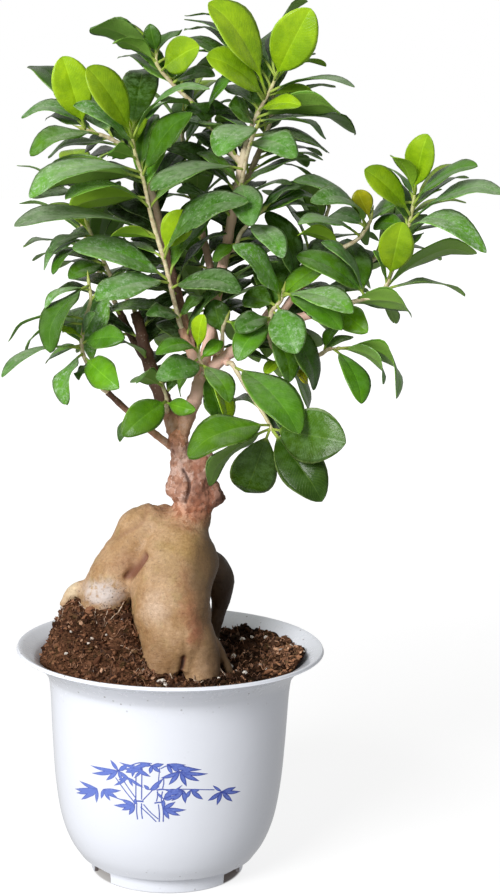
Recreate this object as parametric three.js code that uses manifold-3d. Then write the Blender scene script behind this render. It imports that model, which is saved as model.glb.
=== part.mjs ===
// A ficus ginseng bonsai in its pot. Millimetres, +Z up.
// X runs to the right as the plant is seen from the front, the front looks along +Y, and the origin is
// on the pot's axis at the surface that the pot stands on.
import * as THREE from "three";
import { mergeVertices } from "three/addons/utils/BufferGeometryUtils.js";
import Module from "manifold-3d";

const wasm = await Module();
wasm.setup();

// Driving dimensions
const RIM_RADIUS = 80;
const RIM_TOP = 120.9;
const WALL = 1.8;
const FLOOR_TOP = 10.5;
const FLOOR_UNDER = 8;
const PAD_RADIUS = 10;
const POT_SIDES = 30;
const NOTCH_COUNT = 3;
const NOTCH_FIRST = -57.5;
const NOTCH_WIDTH = 19;
const NOTCH_HEIGHT = 5.5;
const DRAIN_COUNT = 4;
const DRAIN_RADIUS = 4;
const DRAIN_RING = 24;
const SEAT_GAP = 0.3;
const SHORTEST_EDGE = 0.02;
const SOIL_GAP = 0.35;
const LEAF_KEEL = 0.7;
const PETIOLE = 0.14;
const PETIOLE_RADIUS = 0.55;
const FOLD = 0.12;
const STEM_BASE_RADIUS = 1.5;
const STEM_TIP_RADIUS = 0.8;
const CLEAR_OF_OTHERS = 4;
const CLEAR_OF_OWN = 2.2;
const CLEAR_OF_WOOD = 2.6;
const GOLDEN_ANGLE = 137.5;
const FRONT_SHOOTS_GROW_BEHIND = 0.15;
const TRIES = 16;
const DEPTH_STEP = 4;
const DEPTH_TRIES = 13;
const SEED = 2417;

// The viewer in front looks slightly down on the plant.
const FRONT = new THREE.Vector3(0, -Math.cos(rad(9.5)), Math.sin(rad(9.5)));

function rad(degrees) {
  return (degrees * Math.PI) / 180;
}

function vec(x, y, z) {
  return new THREE.Vector3(x, y, z);
}

// Closed meshes to solids and back

function weld(geometry) {
  geometry.deleteAttribute("normal");
  geometry.deleteAttribute("uv");
  return mergeVertices(geometry, 1e-4);
}

function signedVolume(geometry) {
  const p = geometry.getAttribute("position");
  const index = geometry.getIndex().array;
  let sum = 0;
  for (let i = 0; i < index.length; i += 3) {
    const a = vec(0, 0, 0).fromBufferAttribute(p, index[i]);
    const b = vec(0, 0, 0).fromBufferAttribute(p, index[i + 1]);
    const c = vec(0, 0, 0).fromBufferAttribute(p, index[i + 2]);
    sum += a.dot(b.cross(c));
  }
  return sum / 6;
}

function solid(geometry) {
  const vertProperties = Float32Array.from(geometry.getAttribute("position").array);
  const triVerts = Uint32Array.from(geometry.getIndex().array);
  if (signedVolume(geometry) < 0) {
    for (let i = 0; i < triVerts.length; i += 3) {
      const keep = triVerts[i];
      triVerts[i] = triVerts[i + 1];
      triVerts[i + 1] = keep;
    }
  }
  return new wasm.Manifold(new wasm.Mesh({ numProp: 3, vertProperties, triVerts }));
}

function join(solids) {
  return solids.reduce((whole, next) => whole.add(next));
}

function toGeometry(body) {
  const mesh = body.setTolerance(SHORTEST_EDGE).getMesh();
  const geometry = new THREE.BufferGeometry();
  geometry.setAttribute("position", new THREE.BufferAttribute(Float32Array.from(mesh.vertProperties), 3));
  geometry.setIndex(new THREE.BufferAttribute(Uint32Array.from(mesh.triVerts), 1));
  return geometry;
}

// A skin over a row of rings with equally many points each, closed at both ends by a fan
function loft(rings) {
  const sides = rings[0].length;
  const points = rings.flat();
  const middle = (ring) => ring.reduce((sum, p) => sum.add(p), vec(0, 0, 0)).multiplyScalar(1 / sides);
  const first = points.length;
  points.push(middle(rings[0]), middle(rings[rings.length - 1]));
  const faces = [];
  for (let r = 0; r + 1 < rings.length; r++) {
    for (let s = 0; s < sides; s++) {
      const a = r * sides + s;
      const b = r * sides + ((s + 1) % sides);
      faces.push(a, b, b + sides, a, b + sides, a + sides);
    }
  }
  const last = (rings.length - 1) * sides;
  for (let s = 0; s < sides; s++) {
    faces.push(first, (s + 1) % sides, s);
    faces.push(first + 1, last + s, last + ((s + 1) % sides));
  }
  const geometry = new THREE.BufferGeometry();
  geometry.setAttribute("position", new THREE.Float32BufferAttribute(points.flatMap((p) => p.toArray()), 3));
  geometry.setIndex(faces);
  return solid(geometry);
}

// The direction of a row of points at one of them
function heading(points, i) {
  const before = points[Math.max(i - 1, 0)];
  const after = points[Math.min(i + 1, points.length - 1)];
  return after.clone().sub(before).normalize();
}

// A woody limb: a row of [x, y, z, radius across, radius deep]. grow fattens it and lengthens both its ends.
function limb(rows, sides, grow = 0) {
  const points = rows.map(([x, y, z]) => vec(x, y, z));
  const span = points[points.length - 1].clone().sub(points[0]);
  const deep = Math.abs(span.y) > 0.8 * span.length() ? vec(0, 0, 1) : vec(0, 1, 0);
  const rings = rows.map((row, i) => {
    const along = heading(points, i);
    const b = deep.clone().addScaledVector(along, -deep.dot(along)).normalize();
    const a = vec(0, 0, 0).crossVectors(along, b);
    const centre = points[i].clone();
    if (i === 0) centre.addScaledVector(along, -grow);
    if (i === rows.length - 1) centre.addScaledVector(along, grow);
    const wide = row[3] + grow;
    const thick = (row[4] ?? row[3]) + grow;
    return Array.from({ length: sides }, (_, k) => {
      const angle = (2 * Math.PI * k) / sides;
      return centre
        .clone()
        .addScaledVector(a, wide * Math.cos(angle))
        .addScaledVector(b, thick * Math.sin(angle));
    });
  });
  return loft(rings);
}

// The pot: a flared rim with a rolled lip, a round belly, a foot ring with open notches, drain holes, and
// a moulded pad in the middle of its underside

const OUTER_WALL = [
  [40.2, 0],
  [40.8, 7.5],
  [46.5, 9.5],
  [52, 18],
  [56.6, 31],
  [59.6, 50],
  [61.3, 73],
  [63, 101],
  [66, 109],
  [72, 115.3],
];
const LIP = [
  [RIM_RADIUS - 0.6, 118.9],
  [RIM_RADIUS, 119.8],
  [RIM_RADIUS - 1.4, RIM_TOP],
];
const INNER_WALL = [
  [71, 116.8],
  [64.6, 110.4],
  [63 - WALL, 101.5],
  [61.3 - WALL, 73],
  [59.6 - WALL, 50],
  [56.6 - WALL, 31.6],
  [50.2, 19],
  [44, 12],
  [38, FLOOR_TOP],
];

function lathe(profile) {
  const points = profile.map(([r, z]) => new THREE.Vector2(r, z));
  const geometry = new THREE.LatheGeometry(points, POT_SIDES);
  geometry.rotateX(Math.PI / 2);
  return solid(weld(geometry));
}

function disc(radius, low, high, sides) {
  const geometry = new THREE.CylinderGeometry(radius, radius, high - low, sides);
  geometry.rotateX(Math.PI / 2);
  geometry.translate(0, 0, (low + high) / 2);
  return geometry;
}

function potSolid() {
  const underside = [
    [0, 0],
    [PAD_RADIUS, 0],
    [PAD_RADIUS + 0.6, FLOOR_UNDER],
    [37.2, FLOOR_UNDER],
    [37.6, 0],
  ];
  let pot = lathe([...underside, ...OUTER_WALL, ...LIP, ...INNER_WALL, [0, FLOOR_TOP]]);
  for (let i = 0; i < NOTCH_COUNT; i++) {
    const notch = new THREE.BoxGeometry(12, NOTCH_WIDTH, 2 * NOTCH_HEIGHT);
    notch.translate(39, 0, 0);
    notch.rotateZ(rad(NOTCH_FIRST - 90 + (360 / NOTCH_COUNT) * i));
    pot = pot.subtract(solid(weld(notch)));
  }
  for (let i = 0; i < DRAIN_COUNT; i++) {
    const drain = disc(DRAIN_RADIUS, 0, 2 * FLOOR_TOP, 10);
    drain.translate(DRAIN_RING, 0, 0);
    drain.rotateZ(rad(45 + (360 / DRAIN_COUNT) * i));
    pot = pot.subtract(solid(weld(drain)));
  }
  return pot;
}

// The swollen root-stem, its graft and its bare branches: one grown piece.
// Each limb is a row of [x, y, z, radius across, radius deep].

const ROOT_STEM = [
  // body and front lobe
  [[8, 4, 193, 10.5, 10], [6, 3, 183, 13.5, 13], [4, -1, 175, 18, 16], [2.6, -4, 168, 21, 18.5],
    [1.4, -9, 157, 22.6, 20], [1.2, -13, 147, 21.6, 19.5], [2, -17, 134, 19.8, 18], [4, -20, 124, 19, 16.5],
    [5, -22, 113, 17, 13]],
  // the two feet that the front lobe splits into
  [[-3, -18, 134, 10.5, 11], [-4.4, -24, 121, 10, 11], [-4.4, -27, 109, 9.6, 10], [-5, -27, 88, 7, 8]],
  [[12, -17, 134, 11, 12], [16, -23, 121, 10, 11], [17.6, -26, 109, 9.6, 10.5], [18, -27, 88, 7, 8]],
  // left shoulder and leg
  [[10, 6, 181, 9, 10], [-1, 5, 182.6, 10, 11], [-12, 4, 181.4, 11.6, 12.5], [-19, 4, 178, 9, 11]],
  [[-6, 5, 187, 9.6, 10], [-14, 4, 179, 13.6, 13.5], [-23.6, 3, 165, 14, 14], [-31.4, 1, 153, 13.8, 14],
    [-35, 0, 143, 12.8, 13], [-36, -1, 133, 10.6, 11.5], [-37, -1, 117, 7, 8]],
  // a thin root that leaves the foot of the left leg
  [[-38, 1, 149, 6, 6], [-46, 2, 149, 5, 5], [-52, 3, 146, 4.2, 4.2], [-57, 3, 139, 3, 3]],
  // dark root at the right behind, bowed away from the body
  [[8, 10, 166, 8, 9], [17, 15, 161.6, 8, 8.2], [23, 19, 156, 8, 8], [25, 20, 148, 7.6, 7.5],
    [25.6, 21, 140, 5.2, 5.6], [23.6, 21, 131, 4, 4.6], [22, 21, 121, 3.6, 4], [21, 21, 98, 3, 3]],
  // root at the left behind
  [[-2, 10, 185, 11, 11], [-8, 20, 171, 12, 12], [-13, 27, 155, 11, 11], [-17, 31, 139, 9.5, 10],
    [-18, 33, 123, 8, 8.5], [-18, 33, 98, 6, 6]],
  // thin surface root at the right foot
  [[18, -22, 133, 4, 4], [24.6, -20, 126, 2.8, 2.8], [29, -19, 118, 2.2, 2.2], [33, -18, 106, 1.7, 1.7]],
];

const GRAFT = [
  [[8.6, 4, 184, 11.4, 11], [9, 4, 196, 11.6, 11], [8.6, 3, 207, 12, 10.8], [6.4, 3, 215, 9.4, 9.2],
    [3, 3, 222, 5.8, 6.6], [2, 3, 229, 5, 5.5], [2.5, 3, 236, 5.2, 5]],
  // swollen stub at the right with a knob on it
  [[8, 1, 203, 7, 7], [13, -1, 212, 6, 6.4], [15.6, -1, 219, 5.4, 5.6], [16.4, -1, 224, 3, 3.4]],
  // branch cut off at the right
  [[10, 4, 195, 7, 8], [18, 4, 199, 6.6, 7], [24.8, 4, 202.6, 5.6, 6]],
];

const LIMBS = {
  left_side: [[2, 3, 231, 4.8], [-3, 5, 243, 4.2], [-8, 8, 253, 3.9], [-13, 11, 265, 3.6],
    [-17, 14, 277, 3.2], [-19, 16, 285, 2.9], [-22, 17.5, 293, 2.5]],
  neck: [[2.5, 3, 232, 4.8], [8, 3, 245, 4], [11.5, 2.5, 254, 3.7], [13.5, 2.5, 263, 3.6]],
  left_top: [[13.5, 2.5, 261, 3.2], [10, 2.5, 270, 2.7], [6, 2.5, 279, 2.3], [3, 2.2, 287, 2]],
  left_up: [[9, 3, 272, 2.4], [2, 11, 298, 2.2], [-7, 14, 330, 2], [-14, 11, 356, 1.8], [-20, 7.6, 371, 1.6]],
  top: [[13.5, 2.5, 261, 3.2], [16, 5, 277, 2.9], [19, 8, 295, 2.8], [22, 10, 313, 2.7], [25, 10, 329, 2.5],
    [28, 9.4, 347, 2.4], [31, 8, 365, 2.2], [33.2, 6.6, 378, 1.9]],
  right_end: [[13, 2.5, 260, 3.2], [20, 2, 268, 2.9], [32, 3, 278, 2.6], [45, 4, 287, 2.4], [60, 4, 293, 2.2],
    [74, 2.4, 296, 1.9]],
  left_low: [[0, 2, 225, 2.2], [-8, 0, 231, 1.9], [-20, -2.5, 241, 1.7], [-34, -4.6, 254, 1.5]],
  low_left: [[-3, 5, 243, 2], [-3.4, 1, 243, 1.6], [-3.6, -1.2, 244.4, 1.5]],
  low_mid: [[13.5, 1, 262, 2], [14.6, -2.6, 264.4, 1.6]],
  mid: [[16, 5, 274, 2], [19.6, 4.4, 274.6, 1.6]],
  fork_low: [[24, 2, 271, 2], [27, -1.6, 270.2, 1.6]],
  right_front: [[42, 3.6, 285, 2], [45.4, -1.6, 289, 1.6]],
  bud_low: [[47, 4, 288, 1.9], [48.4, 1.8, 282.6, 1.4]],
  right_low: [[57, 4, 292, 2], [64, 4, 284, 1.7], [70.4, 4, 277.4, 1.5]],
  right_up: [[50, 4, 289, 2.1], [58, 5, 302, 1.9], [66, 4.6, 313, 1.7], [70.6, 4.2, 318.6, 1.5]],
  mid_up: [[25, 10, 327, 2], [27.4, 6, 327.6, 1.6]],
  crown_front: [[29, 9, 351, 1.9], [30.4, 3.4, 355, 1.6]],
  crown_left: [[32, 7.6, 371, 1.8], [26, 8.6, 376.4, 1.5]],
  back_left: [[-14, 12, 267, 2.4], [-24, 25, 280, 2.1], [-33, 36, 295, 1.8]],
  back_mid: [[20, 9, 303, 2.3], [16, 22, 319, 2], [11, 34, 336, 1.7]],
  back_right: [[34, 3, 279, 2.3], [45, 21, 291, 2], [56, 36, 306, 1.7]],
  back_low: [[20, 2, 268, 2.2], [21, 20, 273, 1.9], [19, 34, 282, 1.6]],
  back_top: [[29.6, 8.6, 355, 1.9], [36, 20, 366, 1.7], [41, 28, 378, 1.5]],
  back_end: [[66, 3.4, 295, 2], [80, 15, 303, 1.7], [90, 23, 313, 1.5]],
};
const ROOT_SIDES = 10;
const LIMB_SIDES = 5;
const STEM_SIDES = 5;

function rootStem(grow) {
  return join(ROOT_STEM.map((rows) => limb(rows, ROOT_SIDES, grow)));
}

function trunkSolid() {
  const graft = GRAFT.map((rows) => limb(rows, ROOT_SIDES));
  const branches = Object.values(LIMBS).map((rows) => limb(rows, LIMB_SIDES));
  return join([rootStem(0), ...graft, ...branches]);
}

// The potting mix fills the pot, is heaped on the left, and has plain holes that the roots stand in

// 0 before the one place, 1 past the other, eased in between
function ramp(value, from, to) {
  const t = Math.min(1, Math.max(0, (value - from) / (to - from)));
  return t * t * (3 - 2 * t);
}

function soilHeight(x, y) {
  const heap = 31.5 * ramp(x, -71, -51) * ramp(x, 3, -27) * ramp(y, -62, -3) * ramp(y, 64, 18);
  const pile = 6 * Math.exp(-(((x - 61) / 17) ** 2) - ((y + 16) / 26) ** 2);
  const back = 4 * ramp(x, 10, 44) * ramp(y, 4, 40);
  const lumps = 0.8 * Math.sin(0.41 * x + 1.3) * Math.cos(0.37 * y) + 0.6 * Math.sin(0.23 * (x - y));
  return 112 + heap + pile + back + lumps;
}

function soilBlock() {
  const rings = [13, 26, 39, 51, 62, 71, 79];
  const points = [vec(0, 0, soilHeight(0, 0))];
  const faces = [];
  const sectors = POT_SIDES;
  for (const r of rings) {
    for (let s = 0; s < sectors; s++) {
      const angle = (2 * Math.PI * s) / sectors;
      const x = r * Math.cos(angle);
      const y = r * Math.sin(angle);
      points.push(vec(x, y, soilHeight(x, y)));
    }
  }
  const at = (ring, s) => 1 + ring * sectors + (s % sectors);
  for (let s = 0; s < sectors; s++) {
    faces.push(0, at(0, s), at(0, s + 1));
    for (let k = 0; k + 1 < rings.length; k++) {
      faces.push(at(k, s), at(k + 1, s), at(k + 1, s + 1), at(k, s), at(k + 1, s + 1), at(k, s + 1));
    }
  }
  const rim = rings.length - 1;
  const low = points.length;
  for (let s = 0; s < sectors; s++) {
    const edge = points[at(rim, s)];
    points.push(vec(edge.x, edge.y, 0));
  }
  const bottom = points.length;
  points.push(vec(0, 0, 0));
  for (let s = 0; s < sectors; s++) {
    const next = (s + 1) % sectors;
    faces.push(at(rim, s), low + s, low + next, at(rim, s), low + next, at(rim, s + 1));
    faces.push(bottom, low + next, low + s);
  }
  const geometry = new THREE.BufferGeometry();
  geometry.setAttribute("position", new THREE.Float32BufferAttribute(points.flatMap((p) => p.toArray()), 3));
  geometry.setIndex(faces);
  return solid(geometry);
}

function soilSolid() {
  const inside = INNER_WALL.map(([r, z]) => [r - SOIL_GAP, z + SOIL_GAP]).reverse();
  const filling = lathe([[0, FLOOR_TOP + SOIL_GAP], ...inside, [76.4, RIM_TOP], [76.4, 150], [0, 150]]);
  return filling.intersect(soilBlock()).subtract(rootStem(SOIL_GAP));
}

// Leaves

// A leaf lies between its root on the stem and its tip. face says how squarely its upper side is turned to
// the front: 1 is square on, 0 is edge on with the upper side to the sky, and below 0 the underside shows.
function leafFrame(base, tip, face) {
  const along = tip.clone().sub(base);
  const length = along.length();
  along.normalize();
  const front = FRONT.clone().addScaledVector(along, -FRONT.dot(along)).normalize();
  const across = vec(0, 0, 0).crossVectors(along, front);
  if (across.z < 0) across.negate();
  const upper = front.multiplyScalar(face).addScaledVector(across, Math.sqrt(1 - face * face));
  const side = vec(0, 0, 0).crossVectors(along, upper);
  return { base, along, length, upper, side };
}

// A point of the leaf's middle surface, s from root to tip and u from edge to edge
function leafPoint(frame, bow, s, u, half) {
  const rise = bow * frame.length * 4 * s * (1 - s) + FOLD * Math.abs(u) * half;
  return frame.base
    .clone()
    .addScaledVector(frame.along, frame.length * s)
    .addScaledVector(frame.upper, rise)
    .addScaledVector(frame.side, u * half);
}

// Half the blade's width along it, as a share of the full half width
function outline(s) {
  const blade = (s - PETIOLE) / (1 - PETIOLE);
  if (blade <= 0) return 0.08;
  if (blade >= 1) return 0;
  return Math.max(0.08, Math.sin(Math.PI * blade ** 1.12) ** 0.72);
}

const LEAF_STATIONS = [0, PETIOLE, 0.42, 0.74];

// Three corners all along: the two edges, and the rib standing out as a keel on the underside
function leafSolid(leaf) {
  const { frame, bow, wide } = leaf;
  const rings = LEAF_STATIONS.map((s) => {
    const stalk = s <= PETIOLE;
    const half = stalk ? PETIOLE_RADIUS : Math.min(1, outline(s) * 1.03) * (wide / 2);
    const lift = stalk ? PETIOLE_RADIUS / 2 : 0;
    const keel = stalk ? PETIOLE_RADIUS : LEAF_KEEL;
    return [
      leafPoint(frame, bow, s, 1, half).addScaledVector(frame.upper, lift),
      leafPoint(frame, bow, s, -1, half).addScaledVector(frame.upper, lift),
      leafPoint(frame, bow, s, 0, half).addScaledVector(frame.upper, -keel),
    ];
  });
  return pointedLoft(rings, leafPoint(frame, bow, 1, 0, 0));
}

// Three-cornered rings that run out into one point
function pointedLoft(rings, tip) {
  const points = rings.flat();
  points.push(tip);
  const end = points.length - 1;
  const faces = [0, 2, 1];
  for (let r = 0; r + 1 < rings.length; r++) {
    for (let k = 0; k < 3; k++) {
      const a = 3 * r + k;
      const b = 3 * r + ((k + 1) % 3);
      faces.push(a, b, b + 3, a, b + 3, a + 3);
    }
  }
  const last = 3 * (rings.length - 1);
  for (let k = 0; k < 3; k++) faces.push(last + k, last + ((k + 1) % 3), end);
  const geometry = new THREE.BufferGeometry();
  geometry.setAttribute("position", new THREE.Float32BufferAttribute(points.flatMap((p) => p.toArray()), 3));
  geometry.setIndex(faces);
  return solid(geometry);
}

// Keeping leaves clear of each other

const SPACING = 3.5;
const ACROSS = 7;
const BASE_ZONE = 0.36;

function boxOf(points) {
  return new THREE.Box3().setFromPoints(points);
}

function leafCloud(frame, bow, wide) {
  const rows = Math.ceil((frame.length * 0.84) / SPACING);
  const points = [];
  let free = 0;
  for (let i = 0; i <= rows; i++) {
    const s = 0.16 + (0.84 * i) / rows;
    for (let k = 0; k < ACROSS; k++) {
      const u = -1 + (2 * k) / (ACROSS - 1);
      points.push(leafPoint(frame, bow, s, u, outline(s) * (wide / 2)));
    }
    if (s < BASE_ZONE) free = points.length;
  }
  return { points, free };
}

const taken = [];

function take(shoot, points, free, reach) {
  taken.push({ shoot, points, free, reach, box: boxOf(points) });
}

function isClear(shoot, points, free) {
  const box = boxOf(points);
  for (const other of taken) {
    const own = other.shoot === shoot;
    if (own && other.reach > 0) continue;
    const apart = own ? CLEAR_OF_OWN : CLEAR_OF_OTHERS;
    const limit = other.reach > 0 ? CLEAR_OF_WOOD + other.reach : apart;
    if (!box.clone().expandByScalar(limit).intersectsBox(other.box)) continue;
    for (let i = own ? free : 0; i < points.length; i++) {
      for (let j = own ? other.free : 0; j < other.points.length; j++) {
        if (points[i].distanceToSquared(other.points[j]) < limit * limit) return false;
      }
    }
  }
  return true;
}

// Points every few millimetres along a row of points
function trail(points, step) {
  const found = [];
  for (let i = 0; i + 1 < points.length; i++) {
    const count = Math.ceil(points[i].distanceTo(points[i + 1]) / step);
    for (let k = 0; k < count; k++) found.push(points[i].clone().lerp(points[i + 1], k / count));
  }
  found.push(points[points.length - 1].clone());
  return found;
}

// Even draws from 0 to 1
let draw = SEED;
function random() {
  draw = (Math.imul(draw, 1664525) + 1013904223) >>> 0;
  return draw / 4294967296;
}

// Leafy shoots

// Ages: a bud, a bright young leaf, a full-grown one, an old dark one, and an old one with a film of dust
const BUD = 0;
const YOUNG = 1;
const FRESH = 2;
const OLD = 3;
const DUSTY = 4;

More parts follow.
